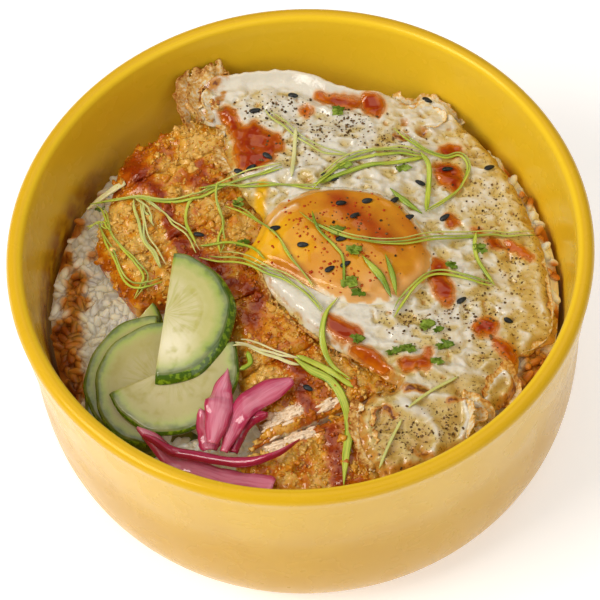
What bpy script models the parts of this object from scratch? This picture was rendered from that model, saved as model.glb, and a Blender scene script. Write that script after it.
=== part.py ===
"""A pork cutlet rice bowl: yellow bowl, rice, sliced cutlet, fried egg and garnishes.

Lengths are written in millimetres and turned to metres as each mesh is made.
+Z is up, +Y is away from the viewer, and the origin is the centre of the foot.
"""
import math
import random

import bmesh
import bpy
from mathutils import Matrix, Vector, noise
from mathutils.bvhtree import BVHTree
from mathutils.geometry import delaunay_2d_cdt

MM = 0.001
GAP = 0.3

# Bowl
BOWL_RADIUS = 82.5
BOWL_HEIGHT = 77.0
WALL = 4.8
SHOULDER_HEIGHT = 45.0
SHOULDER_RADIUS = 80.0
BASE_RADIUS = 48.0
CORNER_POWER = 4.3
UNDERSIDE_HEIGHT = 2.2
FLOOR_HEIGHT = 6.0
FOOT_OUTER = 52.0
FOOT_INNER = 46.0
FOOT_RECESS = 1.5
BOWL_STEPS = 48
LIP_STEPS = 6

# Rice
RICE_EDGE_HEIGHT = 43.0
RICE_RISE = 4.2
RICE_BANK = 4.5
RICE_SWELL = 0.5
RICE_RADIUS = 73.6
GRAIN_LENGTH = 5.6
GRAIN_WIDTH = 2.3
GRAIN_COUNT = 70
GRAIN_SPACING = 5.0

# Cutlet
CUTLET_FLOOR = 48.3
MOUND_TOP = 60.3
MOUND_FALL = 3.5
MOUND_SLOPE = 7.0
CUT_AXIS = Vector((-0.34, 0.94)).normalized()
CUTS = (-45.0, -22.5, 0.0, 27.5, 51.0)
CUT_WIDTHS = (3.0, 0.7, 0.8, 0.8, 0.7)
CRAG = 0.8
CUTLET_OUTLINE = (
    (-48.8, 49), (-52, 40.5), (-54.5, 32), (-57.5, 23.5), (-58.5, 16.5), (-55.5, 9), (-51.5, 2),
    (-47.5, -4), (-41, -3), (-34, -6), (-26, -13), (-20.5, -20), (-20, -31), (-18, -39), (-14.5, -47),
    (-18.7, -53), (-22.5, -56), (-21.5, -61), (-16, -67), (-6, -71), (6, -71), (16, -69), (25, -63),
    (31, -55), (34, -43), (36, -25), (37, 0), (36, 25), (32, 45), (24, 57), (8, 64), (-10, 66),
    (-22, 64), (-32, 58.5), (-41, 53),
)

# Fried egg
WHITE_THICKNESS = 2.8
WHITE_UNDER_YOLK = 1.6
WHITE_OUTLINE = (
    (-30.5, 63), (-29, 68), (-23, 70.5), (-17, 71), (-8, 71), (2, 70.5), (10, 67.5), (17.5, 63),
    (24.5, 61.5), (31, 60.5), (36, 58), (42.5, 59.5), (48, 56), (50.5, 51.5), (56, 44.5), (61, 36.5),
    (65.5, 25), (68.5, 14.5), (70.3, 6), (71, -5), (71, -15), (69.5, -22.5), (59.5, -29), (58, -34),
    (55.5, -43), (51, -45), (48.5, -49), (45, -55), (36, -61.5), (26, -66), (18.5, -67.5), (14, -63),
    (12.4, -58.5), (11.6, -51.7), (13.1, -45.5), (18, -41.8), (23.5, -40), (22.5, -37.6), (16.5, -33.5),
    (10.2, -28.7), (1, -21.2), (-6.7, -10.5), (-11.5, -5), (-12.3, 0), (-16, 5.6), (-11, 12),
    (-10, 18.7), (-14.4, 26), (-18.2, 35.3), (-19, 44), (-18.7, 51.4), (-24.5, 54), (-28, 58),
)
YOLK_OUTLINE = (
    (-13.5, 1), (-14.5, 5.3), (-11.8, 10), (-8.5, 16.5), (-2.8, 22), (4.5, 24.3), (13.3, 25.3),
    (23.2, 23), (31.5, 17.5), (36.5, 8.4), (37.5, 0), (34.5, -8), (28, -13), (20.5, -15),
    (11.5, -14), (4.7, -10.2), (-3.3, -4.4), (-10, 0),
)
YOLK_RISE = 4.6
YOLK_SHOULDER = 15.0

# Small toppings, by the plan points that they lie at
SESAME_LENGTH = 3.3
SESAME_WIDTH = 2.0
SESAME_THICKNESS = 1.3
SESAME_ON_WHITE = (
    (2, 59), (-9.5, 54.5), (-7, 37.5), (-15.5, 33.5), (-12, 34), (9.5, 29.5), (11.5, 28), (41.5, 56.5),
    (36.5, 27), (45, 32), (57.5, 33.5), (42.5, 15), (44.5, -13), (57, -18.5),
)
SESAME_ON_YOLK = (
    (-6.5, 10.5), (1, 4), (13, 17), (16.5, 12.5), (20.5, 18), (28.5, 20), (32, 13.5), (12, 4.5), (8, -4.5),
    (12.5, -3.5),
)
SESAME_ON_CUTLET = ((-28.5, 15.5), (-1, -37.5))
HERBS_ON_WHITE = (
    (15, 51.5), (15, 33), (32, 31), (36, -23), (38, -27), (35.5, -33), (24, -30), (28, -28.5),
    (14, -25.5), (51.5, 4.5), (43.5, -2),
)
HERBS_ON_CUTLET = ((-17, 25), (-16.5, 10.5), (-36, 38))
HERB_LENGTH = 5.0

# Thick sauce drops: centre, half length and half width, turn in degrees
SAUCE_THICKNESS = 0.9
SAUCE_DROPS = (
    ((-10.5, 42.5), (9.5, 6.5), -18), ((-15.5, 50.5), (4.5, 3.5), 120), ((14.5, 57.3), (8, 2.6), -18),
    ((26, 55), (4, 2.6), -35), ((5.5, 53), (2.2, 1.7), -10), ((46, 39), (3.4, 2.6), 10),
    ((44.5, 29.5), (4.6, 3.6), -35), ((45, 15), (2, 1.8), 0), ((63, 5.5), (5.6, 2.6), -38),
    ((39, -7), (5, 3), -70), ((50.5, -21), (4.2, 3.6), 10), ((54.5, -27.5), (5, 2.7), -62),
    ((12.5, -22.5), (5.4, 2.3), -52), ((19, -33), (5.2, 2.2), -50), ((30, -32), (5, 2.2), 10),
)

# Cucumber: name, centre, level in the stack, facing angle of the curved side, radius
CUCUMBER_THICKNESS = 2.1
CUCUMBER_TILT = (0.10, 0.17)
CUCUMBER_BASE = 57.0
CUCUMBER_STEP = 2.42
# The rear slice leans back on the cutlet's edge: height of its plane on the axis, rise along X and Y
CUCUMBER_REAR_PLANE = (57.7, 0.0, 0.6)
CUCUMBERS = (
    ("cucumber_under", (-46, -33.4), 0, 232, 16.6),
    ("cucumber_lower", (-46.5, -30.6), 1, 190, 17.6),
    ("cucumber_outer", (-45, -27.3), 2, 170, 18.5),
    ("cucumber_inner", (-42.5, -30.5), 3, 165, 18.0),
    ("cucumber_front", (-38.5, -27.7), 4, 286, 18.5),
    ("cucumber_top", (-39.3, -12.9), 5, 348, 18.0),
    ("cucumber_rear", (-48.6, -8.6), -1, 308, 7.2),
)

# Pickled onion: name, width, thickness, then points along the middle of the strip
ONION_SEGMENT = 5.7
ONION_ARCH = 0.9
ONIONS = (
    ("onion_rim", 7.5, 1.2, ((-49, -45, 49), (-38, -54, 51.5), (-25.5, -61.5, 54), (-12.5, -67, 58.5))),
    ("onion_long", 2.6, 1.3, (
        (-47.5, -48.5, 52), (-36, -53, 55), (-22, -58.5, 58), (-12, -59, 61), (-4.5, -55, 61))),
    ("onion_small", 6.5, 1.2, ((-31.3, -42, 53.5), (-29.5, -47, 54), (-29.5, -52.5, 55))),
    ("onion_inner", 3.6, 1.2, ((-12.5, -46, 61), (-17.5, -46.5, 60), (-21.5, -50.5, 57), (-23, -55, 57))),
    ("onion_band", 5.6, 1.3, (
        (-25.5, -55.5, 58), (-22.5, -49, 60), (-18.5, -43.5, 61), (-12.5, -39.5, 62), (-5, -36.5, 62))),
    ("onion_petal", 7.5, 1.3, ((-22.7, -31, 61), (-25, -38, 60), (-26.5, -46, 60), (-28.5, -53.5, 59))),
)

# Scallion shreds: name, width, then plan points along the strip, lowest strips first
SHRED_THICKNESS = 0.5
SHRED_SEGMENT = 6.0
SHRED_CLEARANCE = 0.45
SHRED_SLOPE = 0.45
SHREDS = (
    ("shred_left_rim", 1.2, (
        (-58.5, 34), (-56, 31), (-54, 21), (-51, 15.5), (-47.5, 9), (-44.5, 3), (-48, -3))),
    ("shred_left_low", 1.2, ((-58, 27), (-55.5, 18), (-53, 12), (-50, 3.5), (-46, 0.5), (-40, 2))),
    ("shred_left_cross", 1.1, ((-54.5, 20), (-57.5, 24.5), (-61, 24))),
    ("shred_left_fork", 1.6, ((-46, 31), (-45.5, 25), (-44, 18), (-41.5, 11.5), (-39.5, 6))),
    ("shred_left_short", 1.3, ((-46, 31), (-42.5, 25), (-41.5, 20.5))),
    ("shred_left_slope", 1.0, ((-45, 30.5), (-39.5, 25), (-35.5, 20.5), (-32, 17), (-29, 9.5))),
    ("shred_left_loop", 0.9, ((-28.5, 29), (-31, 26.5), (-32, 20), (-29.5, 12))),
    ("shred_left_span", 1.6, (
        (-60, 34), (-52, 32), (-46, 31.5), (-39.5, 29), (-29, 29), (-23, 31), (-12.5, 31.5), (-3, 32.5))),
    ("shred_mid_span", 1.2, ((-27.5, 31), (-21, 30.5), (-13, 28), (-2.5, 26.5), (7.5, 24.5))),
    ("shred_mid_drop", 1.3, ((-21, 31), (-22, 26), (-21, 20.5), (-22, 14.5), (-23, 8))),
    ("shred_mid_slope", 1.1, ((-20.5, 25), (-15, 20.5), (-9.5, 12), (-5.5, 6), (-2.5, 0.5), (3, -9))),
    ("shred_low_span", 1.3, ((-28.5, 8.5), (-20, 5.5), (-14.5, 2), (-9, -2), (-3.5, -6), (5, -16.5))),
    ("shred_low_fork", 0.8, ((-28.5, 11.5), (-20.5, 10.5), (-14, 6), (-10, 1))),
    ("shred_back_slope", 1.1, ((-6.5, 54.5), (-3, 49.5), (3, 42.5), (10, 37.5), (17, 36))),
    ("shred_back_pale", 1.2, ((2, 45.5), (1, 39), (-0.5, 29))),
    ("shred_egg_under", 1.3, ((5.5, 25.5), (12, 28.5), (21, 32), (31.5, 33.5), (39.5, 36))),
    ("shred_egg_arch", 1.7, ((4.5, 24.5), (8, 28), (13.5, 32.5), (21.5, 36), (31, 37.5), (37.5, 35.5))),
    ("shred_egg_down", 1.5, ((37.5, 36), (39.5, 32.5), (39, 26.5), (37.3, 16.5))),
    ("shred_egg_loop", 1.3, (
        (31, 46.5), (38, 39), (44.5, 36), (49, 37), (51, 33.5), (49, 27), (45.5, 22.5), (37, 16))),
    ("shred_egg_span", 1.2, (
        (1, 15), (5, 10), (11.5, 5.5), (18.5, 3.5), (28.5, 3.5), (40.5, 7.5), (54, 10.5), (61, 10),
        (68, 10.5))),
    ("shred_egg_drop", 1.1, ((51, 9.5), (50, 4.5), (51, -0.5), (54.5, -7.5))),
    ("shred_egg_bow", 1.5, (
        (24.5, -19.5), (27, -15), (31, -10), (36, -5.5), (41, -4), (47.5, -5), (54, -7.5))),
    ("shred_egg_leaf", 2.2, ((17.5, -1.5), (20, -5), (22.5, -8.5), (24.5, -14))),
    ("shred_egg_tip", 1.6, ((24, -1), (25.5, -7.5), (26, -13.5))),
    ("shred_yolk_leaf", 1.8, ((27.5, 24), (30.5, 20.5), (36, 15.5))),
    ("shred_yolk_thin", 0.8, ((4.5, 14.5), (5.5, 8.5), (10, 2), (12, -2), (11.5, -11))),
    ("shred_front_pale", 1.9, ((-21, -23.5), (-16.5, -23), (-10.5, -25.5), (-2, -29.5))),
    ("shred_front_main", 2.4, (
        (-4, -29), (0.5, -32.5), (5.5, -36), (8.5, -42), (9.5, -51), (8, -58.5), (6.5, -68))),
    ("shred_front_edge", 1.8, ((-3.5, -28.5), (3, -31.5), (9.5, -36.5), (11.5, -38.5))),
    ("shred_front_branch", 1.8, ((9.5, -12.5), (6, -17), (4.2, -24.5), (6, -31.5), (11, -36.5))),
    ("shred_front_hook", 1.5, ((-17, -24.5), (-16.5, -28.5), (-19.5, -31))),
    ("shred_drape_high", 0.9, ((41, -38), (35.5, -41), (30, -45), (26, -48.5))),
    ("shred_drape_low", 0.9, ((24, -51), (21, -56.5), (16.5, -65.5))),
    ("shred_rear_leaf", 3.0, ((-59, 36.5), (-56.8, 40.5), (-53.3, 45.5))),
    ("shred_rear_pale", 1.9, ((-61.3, 33), (-57.5, 35), (-53, 36.8), (-49.3, 38))),
)


def material(name, hex_code, roughness):
    """A plain surface colour, given as an sRGB hex code."""
    channels = [int(hex_code[i:i + 2], 16) / 255 for i in (0, 2, 4)]
    linear = [c / 12.92 if c <= 0.04045 else ((c + 0.055) / 1.055) ** 2.4 for c in channels]
    result = bpy.data.materials.new(name)
    result.use_nodes = True
    shader = result.node_tree.nodes["Principled BSDF"]
    shader.inputs["Base Color"].default_value = (*linear, 1)
    shader.inputs["Roughness"].default_value = roughness
    shader.inputs["Metallic"].default_value = 0.0
    return result


def new_object(name, mesh, surface, collection):
    """An object for a finished mesh, in its collection and with its material."""
    mesh.materials.clear()
    mesh.materials.append(surface)
    result = bpy.data.objects.new(name, mesh)
    collection.objects.link(result)
    return result


def smooth_step(low, high, value):
    """0 below low, 1 above high, and a smooth rise between."""
    t = min(max((value - low) / (high - low), 0.0), 1.0)
    return t * t * (3 - 2 * t)


def bumps(x, y, size, seed):
    """Smooth noise from about -1 to 1 with bumps of the given size."""
    return noise.noise(Vector((x / size, y / size, seed)))


def closed_curve(points, spacing):
    """A smooth anticlockwise outline through the points, with corners about one spacing apart."""
    result = []
    count = len(points)
    for i in range(count):
        p0, p1, p2, p3 = (Vector(points[(i + k) % count]) for k in (-1, 0, 1, 2))
        pieces = max(1, round((p2 - p1).length / spacing))
        for k in range(pieces):
            result.append(spline_point(p0, p1, p2, p3, k / pieces))
    turned = sum((b.x - a.x) * (b.y + a.y) for a, b in zip(result, result[1:] + result[:1]))
    return result[::-1] if turned > 0 else result


def open_curve(points, spacing):
    """A smooth open line through the points, at about even spacing."""
    points = [Vector(p) for p in points]
    ends = [2 * points[0] - points[1]] + points + [2 * points[-1] - points[-2]]
    result = []
    for p0, p1, p2, p3 in zip(ends, ends[1:], ends[2:], ends[3:]):
        pieces = max(1, round((p2 - p1).length / spacing))
        for k in range(pieces):
            result.append(spline_point(p0, p1, p2, p3, k / pieces))
    result.append(points[-1])
    return result


def spline_point(p0, p1, p2, p3, t):
    """A point of the Catmull-Rom curve between p1 and p2."""
    a = 2 * p1
    b = p2 - p0
    c = 2 * p0 - 5 * p1 + 4 * p2 - p3
    d = 3 * p1 - p0 - 3 * p2 + p3
    return 0.5 * (a + b * t + c * t ** 2 + d * t ** 3)


def edge_distance(point, outline):
    """How far a plan point is inside an outline; negative outside."""
    inside = False
    best = math.inf
    for a, b in zip(outline, outline[1:] + outline[:1]):
        if (a.y > point.y) != (b.y > point.y):
            if point.x < (b.x - a.x) * (point.y - a.y) / (b.y - a.y) + a.x:
                inside = not inside
        side = b - a
        t = min(max((point - a).dot(side) / side.length_squared, 0.0), 1.0)
        best = min(best, (point - a - side * t).length)
    return best if inside else -best


def clip(outline, normal, offset):
    """The part of an outline on the side of a line where normal . point is over offset."""
    result = []
    for a, b in zip(outline, outline[1:] + outline[:1]):
        da = normal.dot(a) - offset
        db = normal.dot(b) - offset
        if da >= 0:
            result.append(a)
        if da * db < 0:
            result.append(a.lerp(b, da / (da - db)))
    return result


def slab(name, outline, spacing, floor, roof, surface, collection, rings=()):
    """A solid over a plan outline, between two height functions of the plan point and its edge distance.

    Inner points lie on a triangular grid of the given spacing, and on rings inset from the outline.
    """
    low = Vector((min(p.x for p in outline), min(p.y for p in outline)))
    high = Vector((max(p.x for p in outline), max(p.y for p in outline)))
    points = list(outline)
    deepest = max(rings, default=0.0)
    for depth in rings:
        points += [p for p in inset(outline, depth) if edge_distance(p, outline) > 0.6 * depth]
    row = 0
    y = low.y
    while y < high.y:
        x = low.x + (row % 2) * spacing / 2
        while x < high.x:
            if edge_distance(Vector((x, y)), outline) > deepest + 0.45 * spacing:
                points.append(Vector((x, y)))
            x += spacing
        y += spacing * math.sqrt(3) / 2
        row += 1
    count = len(outline)
    corners, _, faces, _, _, _ = delaunay_2d_cdt(points, [], [list(range(count))], 1, 1e-5)
    depth = [max(edge_distance(p, outline), 0.0) for p in corners]
    shape = bmesh.new()
    bottom = [shape.verts.new(Vector((*p, floor(p, d))) * MM) for p, d in zip(corners, depth)]
    top = [shape.verts.new(Vector((*p, roof(p, d))) * MM) for p, d in zip(corners, depth)]
    border = {}
    for face in faces:
        shape.faces.new([top[i] for i in face])
        shape.faces.new([bottom[i] for i in reversed(face)])
        for a, b in zip(face, face[1:] + face[:1]):
            border[(a, b)] = border.get((a, b), 0) + 1
    for a, b in border:
        if (b, a) not in border:
            shape.faces.new((bottom[a], bottom[b], top[b], top[a]))
    loose = [v for v in shape.verts if not v.link_faces]
    bmesh.ops.delete(shape, geom=loose, context="VERTS")
    bmesh.ops.triangulate(shape, faces=shape.faces[:])
    bmesh.ops.recalc_face_normals(shape, faces=shape.faces[:])
    mesh = bpy.data.meshes.new(name)
    shape.to_mesh(mesh)
    shape.free()
    return new_object(name, mesh, surface, collection)


def inset(outline, depth):
    """The corners of an outline, moved inwards at right angles to it."""
    result = []
    for a, p, b in zip(outline[-1:] + outline[:-1], outline, outline[1:] + outline[:1]):
        along = (b - a).normalized()
        result.append(p + Vector((-along.y, along.x)) * depth)
    return result


def tree_of(item):
    """A search tree of an object's triangles, in world space."""
    item.data.calc_loop_triangles()
    corners = [item.matrix_world @ v.co for v in item.data.vertices]
    return BVHTree.FromPolygons(corners, [t.vertices[:] for t in item.data.loop_triangles])


def top_under(x, y, trees, above=120.0):
    """Height of the highest surface at a plan point, in millimetres, or 0."""
    best = 0.0
    for tree in trees:
        hit = tree.ray_cast(Vector((x, y, above)) * MM, Vector((0, 0, -1)))[0]
        if hit is not None:
            best = max(best, hit.z / MM)
    return best


def fuse(target, bits):
    """Unites the objects of a collection with a target and removes them."""
    union = target.modifiers.new("Fused bits", "BOOLEAN")
    union.operation = "UNION"
    union.operand_type = "COLLECTION"
    union.collection = bits
    union.solver = "MANIFOLD"
    view = bpy.context.evaluated_depsgraph_get()
    fused = bpy.data.meshes.new_from_object(target.evaluated_get(view))
    target.modifiers.clear()
    plain = target.data
    target.data = fused
    fused.name = target.name
    bpy.data.meshes.remove(plain)
    for bit in list(bits.objects):
        bpy.data.objects.remove(bit)
    bpy.data.collections.remove(bits)
    keep_largest(fused)


def keep_largest(mesh):
    """Drops any scrap that a union left apart from the main shell."""
    shape = bmesh.new()
    shape.from_mesh(mesh)
    unseen = set(shape.verts)
    shells = []
    while unseen:
        stack = [unseen.pop()]
        shell = []
        while stack:
            vertex = stack.pop()
            shell.append(vertex)
            for edge in vertex.link_edges:
                other = edge.other_vert(vertex)
                if other in unseen:
                    unseen.remove(other)
                    stack.append(other)
        shells.append(shell)
    shells.sort(key=len)
    for shell in shells[:-1]:
        bmesh.ops.delete(shape, geom=shell, context="VERTS")
    bmesh.ops.triangulate(shape, faces=shape.faces[:])
    shape.to_mesh(mesh)
    shape.free()


# Bowl


def outer_radius(height):
    """Radius of the bowl's outside at a height above the underside."""
    if height >= SHOULDER_HEIGHT:
        share = (height - SHOULDER_HEIGHT) / (BOWL_HEIGHT - SHOULDER_HEIGHT)
        return SHOULDER_RADIUS + (BOWL_RADIUS - SHOULDER_RADIUS) * share
    fall = (SHOULDER_HEIGHT - height) / SHOULDER_HEIGHT
    return BASE_RADIUS + (SHOULDER_RADIUS - BASE_RADIUS) * (1 - fall ** CORNER_POWER) ** (1 / CORNER_POWER)


def inner_radius(height):
    """Radius of the bowl's inside at a height, with the same rounded corner above the floor."""
    if height >= SHOULDER_HEIGHT:
        return outer_radius(height) - WALL
    fall = (SHOULDER_HEIGHT - height) / (SHOULDER_HEIGHT - FLOOR_HEIGHT)
    fall = min(fall, 1.0)
    reach = SHOULDER_RADIUS - WALL - BASE_RADIUS
    return BASE_RADIUS + reach * (1 - fall ** CORNER_POWER) ** (1 / CORNER_POWER)


def inside_profile():
    """The bowl's inside section, from the shoulder down to the axis."""
    points = [(inner_radius(z), z) for z in (SHOULDER_HEIGHT, 28.0, 17.0, 10.5, 7.5)]
    return points + [(BASE_RADIUS, FLOOR_HEIGHT), (0, FLOOR_HEIGHT)]


def bowl_profile():
    """The half section of the bowl, from the axis below, round the rim, to the axis inside."""
    lip = WALL / 2
    outside = [UNDERSIDE_HEIGHT, 4.5, 8.0, 13.0, 19.0, 27.0, 36.0, SHOULDER_HEIGHT]
    points = [(0, FOOT_RECESS), (FOOT_INNER - 1.5, FOOT_RECESS), (FOOT_INNER, 0), (FOOT_OUTER, 0)]
    points.append((FOOT_OUTER + 1, UNDERSIDE_HEIGHT - 0.4))
    points += [(outer_radius(z), z) for z in outside]
    for step in range(LIP_STEPS + 1):
        angle = math.pi * step / LIP_STEPS
        points.append((BOWL_RADIUS - lip + lip * math.cos(angle), BOWL_HEIGHT - lip + lip * math.sin(angle)))
    return points + inside_profile()


def build_bowl(collection):
    """The bowl, turned about its axis."""
    mesh = bpy.data.meshes.new("bowl")
    points = bowl_profile()
    corners = [(r * MM, 0, z * MM) for r, z in reversed(points)]
    mesh.from_pydata(corners, [(i, i + 1) for i in range(len(corners) - 1)], [])
    bowl = new_object("bowl", mesh, material("Yellow glaze", "F0C23C", 0.3), collection)
    turn = bowl.modifiers.new("Turn", "SCREW")
    turn.axis = "Z"
    turn.steps = BOWL_STEPS
    turn.render_steps = BOWL_STEPS
    turn.use_merge_vertices = True
    turn.merge_threshold = 0.00001
    turn.use_smooth_shade = True
    return bowl


# Rice


def rice_top(x, y):
    """Height of the bare rice at a plan point."""
    radius = math.hypot(x, y)
    swell = RICE_SWELL * bumps(x, y, 9.0, 3.1)
    bank = RICE_BANK * smooth_step(38.0, 58.0, x)
    return RICE_EDGE_HEIGHT + RICE_RISE * (1 - (radius / RICE_RADIUS) ** 2) + swell + bank


def rice_floor(point):
    """The rice's underside, just clear of the bowl's facets."""
    radius = point.length + 2 * GAP
    profile = inside_profile()
    for (far, high), (near, low) in zip(profile, profile[1:]):
        if near <= radius <= far:
            return low + (high - low) * (radius - near) / (far - near) + 2 * GAP
    return SHOULDER_HEIGHT - GAP


def build_rice_core(collection):
    """The body of the rice, out to the wall and up to its domed top."""
    rings = ((RICE_RADIUS, 44), (70.0, 40), (62.0, 30), (50.0, 22), (34.0, 14), (16.0, 7))
    outline = ring_points(*rings[0])
    extra = [p for radius, count in rings[1:] for p in ring_points(radius, count)]
    shape = bmesh.new()
    points = outline + extra + [Vector((0, 0))]
    corners, _, faces, _, _, _ = delaunay_2d_cdt(points, [], [list(range(len(outline)))], 1, 1e-5)
    rim = len(outline)
    bottom = [shape.verts.new(Vector((*p, rice_floor(p))) * MM) for p in corners]
    top = [shape.verts.new(Vector((*p, rice_top(*p))) * MM) for p in corners]
    for face in faces:
        shape.faces.new([top[i] for i in face])
        shape.faces.new([bottom[i] for i in reversed(face)])
    for i in range(rim):
        j = (i + 1) % rim
        shape.faces.new((bottom[i], bottom[j], top[j], top[i]))
    bmesh.ops.triangulate(shape, faces=shape.faces[:])
    bmesh.ops.recalc_face_normals(shape, faces=shape.faces[:])
    mesh = bpy.data.meshes.new("rice")
    shape.to_mesh(mesh)
    shape.free()
    return new_object("rice", mesh, material("Steamed rice", "EFE9DC", 0.5), collection)


def ring_points(radius, count):
    """Evenly spaced plan points on a circle."""
    turn = 2 * math.pi / count
    return [Vector((radius * math.cos(turn * i), radius * math.sin(turn * i))) for i in range(count)]


def add_grains(rice, toppings, collection):
    """Grains over the bare rice, left out where a topping or the wall is in the way."""
    draw = random.Random(11)
    bits = bpy.data.collections.new("Grains")
    collection.children.link(bits)
    trees = [tree_of(item) for item in toppings]
    placed = []
    golden = math.pi * (3 - math.sqrt(5))
    tries = 2600
    for i in range(tries):
        radius = (RICE_RADIUS - 2.2) * math.sqrt(1 - i / tries)
        spot = Vector((radius * math.cos(golden * i), radius * math.sin(golden * i)))
        if len(placed) == GRAIN_COUNT or any((spot - p).length < GRAIN_SPACING for p in placed):
            continue
        centre = Vector((*spot, rice_top(*spot) + 0.15))
        if any(tree.find_nearest(centre * MM)[3] < (GRAIN_LENGTH / 2 + 0.5) * MM for tree in trees):
            continue
        if covered(centre, trees):
            continue
        tilt = 0.0 if radius > RICE_RADIUS - 4 else draw.uniform(-0.5, 0.5)
        heading = math.atan2(spot.y, spot.x) + math.pi / 2 if tilt == 0.0 else draw.uniform(0, math.pi)
        turn = Matrix.Rotation(heading, 4, "Z") @ Matrix.Rotation(tilt, 4, "Y")
        pip("grain", centre, turn, (GRAIN_LENGTH, GRAIN_WIDTH, GRAIN_WIDTH), rice.data.materials[0], bits)
        placed.append(spot)
    fuse(rice, bits)


def pip(name, centre, turn, size, surface, collection):
    """A small faceted ellipsoid with its poles at the ends of its length."""
    shape = bmesh.new()
    bmesh.ops.create_uvsphere(shape, u_segments=5, v_segments=4, radius=0.5)
    upright = Matrix.Rotation(math.pi / 2, 4, "Y")
    stretch = Matrix.Diagonal((*(length * MM for length in size), 1))
    place = Matrix.Translation(centre * MM)
    bmesh.ops.transform(shape, matrix=place @ turn @ stretch @ upright, verts=shape.verts[:])
    mesh = bpy.data.meshes.new(name)
    shape.to_mesh(mesh)
    shape.free()
    new_object(name, mesh, surface, collection)


def covered(centre, trees):
    """Whether something lies close above a point, so that a grain there wouldn't show."""
    upward = Vector((0, 0, 1))
    return any(tree.ray_cast(centre * MM, upward, 14 * MM)[0] is not None for tree in trees)


# Cutlet


def mound(x, y):
    """Height of the smooth top of the cutlet, which the egg follows past the cutlet's right side."""
    dome = MOUND_FALL * (((x + 5) / 60) ** 2 + ((y - 15) / 80) ** 2)
    return MOUND_TOP - dome - MOUND_SLOPE * smooth_step(8.0, 74.0, x)


def cutlet_roof(point, depth):
    """The craggy crust, rounded down at the sides of the whole cutlet."""
    crag = CRAG * (bumps(point.x, point.y, 5.0, 7.7) + 0.5 * bumps(point.x, point.y, 2.6, 1.3))
    side = 2.6 * (1 - smooth_step(0.0, 5.0, depth))
    return mound(point.x, point.y) + crag - side


def build_cutlet(collection):
    """The cutlet's six strips, from the front to the back."""
    surface = material("Fried crumb", "C98B3A", 0.55)
    whole = closed_curve(CUTLET_OUTLINE, 7.0)
    starts = [-90.0] + [c + w / 2 for c, w in zip(CUTS, CUT_WIDTHS)]
    ends = [c - w / 2 for c, w in zip(CUTS, CUT_WIDTHS)] + [90.0]
    strips = []
    for number, (start, end) in enumerate(zip(starts, ends), 1):
        outline = clip(clip(whole, CUT_AXIS, start), -CUT_AXIS, -end)
        outline = even_outline(outline, 6.5)
        strips.append(slab(
            f"cutlet_strip_{number}", outline, 5.6,
            lambda p, d: CUTLET_FLOOR + 0.5 * max(0.0, 2.0 - d),
            lambda p, d, whole=whole: cutlet_roof(p, max(edge_distance(p, whole), 0.0)),
            surface, collection,
        ))
    return strips


def even_outline(outline, longest):
    """An outline with short sides joined and long sides divided."""
    result = []
    for a, b in zip(outline, outline[1:] + outline[:1]):
        if result and (a - result[-1]).length < 0.9:
            continue
        result.append(a)
        pieces = max(1, math.ceil((b - a).length / longest))
        for k in range(1, pieces):
            result.append(a.lerp(b, k / pieces))
    if (result[0] - result[-1]).length < 0.9:
        result.pop()
    return result


# Fried egg


def white_floor(point, _):
    """The white's underside, clear of the highest crags of the crust."""
    return mound(point.x, point.y) + 1.5 * CRAG + 2 * GAP


def white_roof(point, depth):
    """The white's top: thin at its edge and under the yolk, with folds."""
    folds = 0.6 * bumps(point.x, point.y, 11.0, 5.2) + 0.35 * bumps(point.x, point.y, 5.0, 2.2)
    body = WHITE_THICKNESS + folds
    under = smooth_step(0.0, 6.0, edge_distance(point, YOLK_CURVE))
    thickness = body + (WHITE_UNDER_YOLK - body) * under
    return white_floor(point, depth) + thickness * (0.45 + 0.55 * smooth_step(0.0, 3.0, depth))


def build_white(collection):
    """The draped egg white."""
    outline = closed_curve(WHITE_OUTLINE, 8.0)
    return slab(
        "egg_white", outline, 7.2, white_floor, white_roof,
        material("Egg white", "F3EDDD", 0.35), collection, rings=(1.8,),
    )


def yolk_floor(point, _):
    """The yolk's underside, just clear of the white."""
    return white_roof(point, 20.0) + 0.65


def yolk_roof(point, depth):
    """The yolk's low dome."""
    share = min(depth / YOLK_SHOULDER, 1.0)
    return yolk_floor(point, 0) + 0.6 + YOLK_RISE * math.sqrt(1 - (1 - share) ** 2)


def build_yolk(collection):
    """The runny yolk on the white."""
    outline = closed_curve(YOLK_OUTLINE, 7.0)
    return slab(
        "yolk", outline, 5.0, yolk_floor, yolk_roof,
        material("Egg yolk", "E79C22", 0.25), collection, rings=(1.6,),
    )


def add_toppings(target, drops, seeds, leaves, collection):
    """Sauce drops, sesame seeds and herb leaves, half sunk in what they lie on."""
    bits = bpy.data.collections.new(f"Bits on {target.name}")
    collection.children.link(bits)
    surface = target.data.materials[0]
    trees = [tree_of(target)]
    for number, (centre, half, turn) in enumerate(drops):
        drop(f"drop_{number}", centre, half, turn, trees, surface, bits)
    for number, spot in enumerate(seeds):
        seed(f"seed_{number}", spot, 37 * number + 20, trees, surface, bits)
    for number, spot in enumerate(leaves):
        leaf(f"leaf_{number}", spot, 53 * number, trees, surface, bits)
    fuse(target, bits)


def add_cutlet_toppings(strips, collection):
    """The few seeds and leaves on the crust, each on the strip that is under it."""
    for item in strips:
        trees = [tree_of(item)]
        seeds = [p for p in SESAME_ON_CUTLET if top_under(*p, trees) > 0]
        leaves = [p for p in HERBS_ON_CUTLET if top_under(*p, trees) > 0]
        if seeds or leaves:
            add_toppings(item, (), seeds, leaves, collection)


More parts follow.
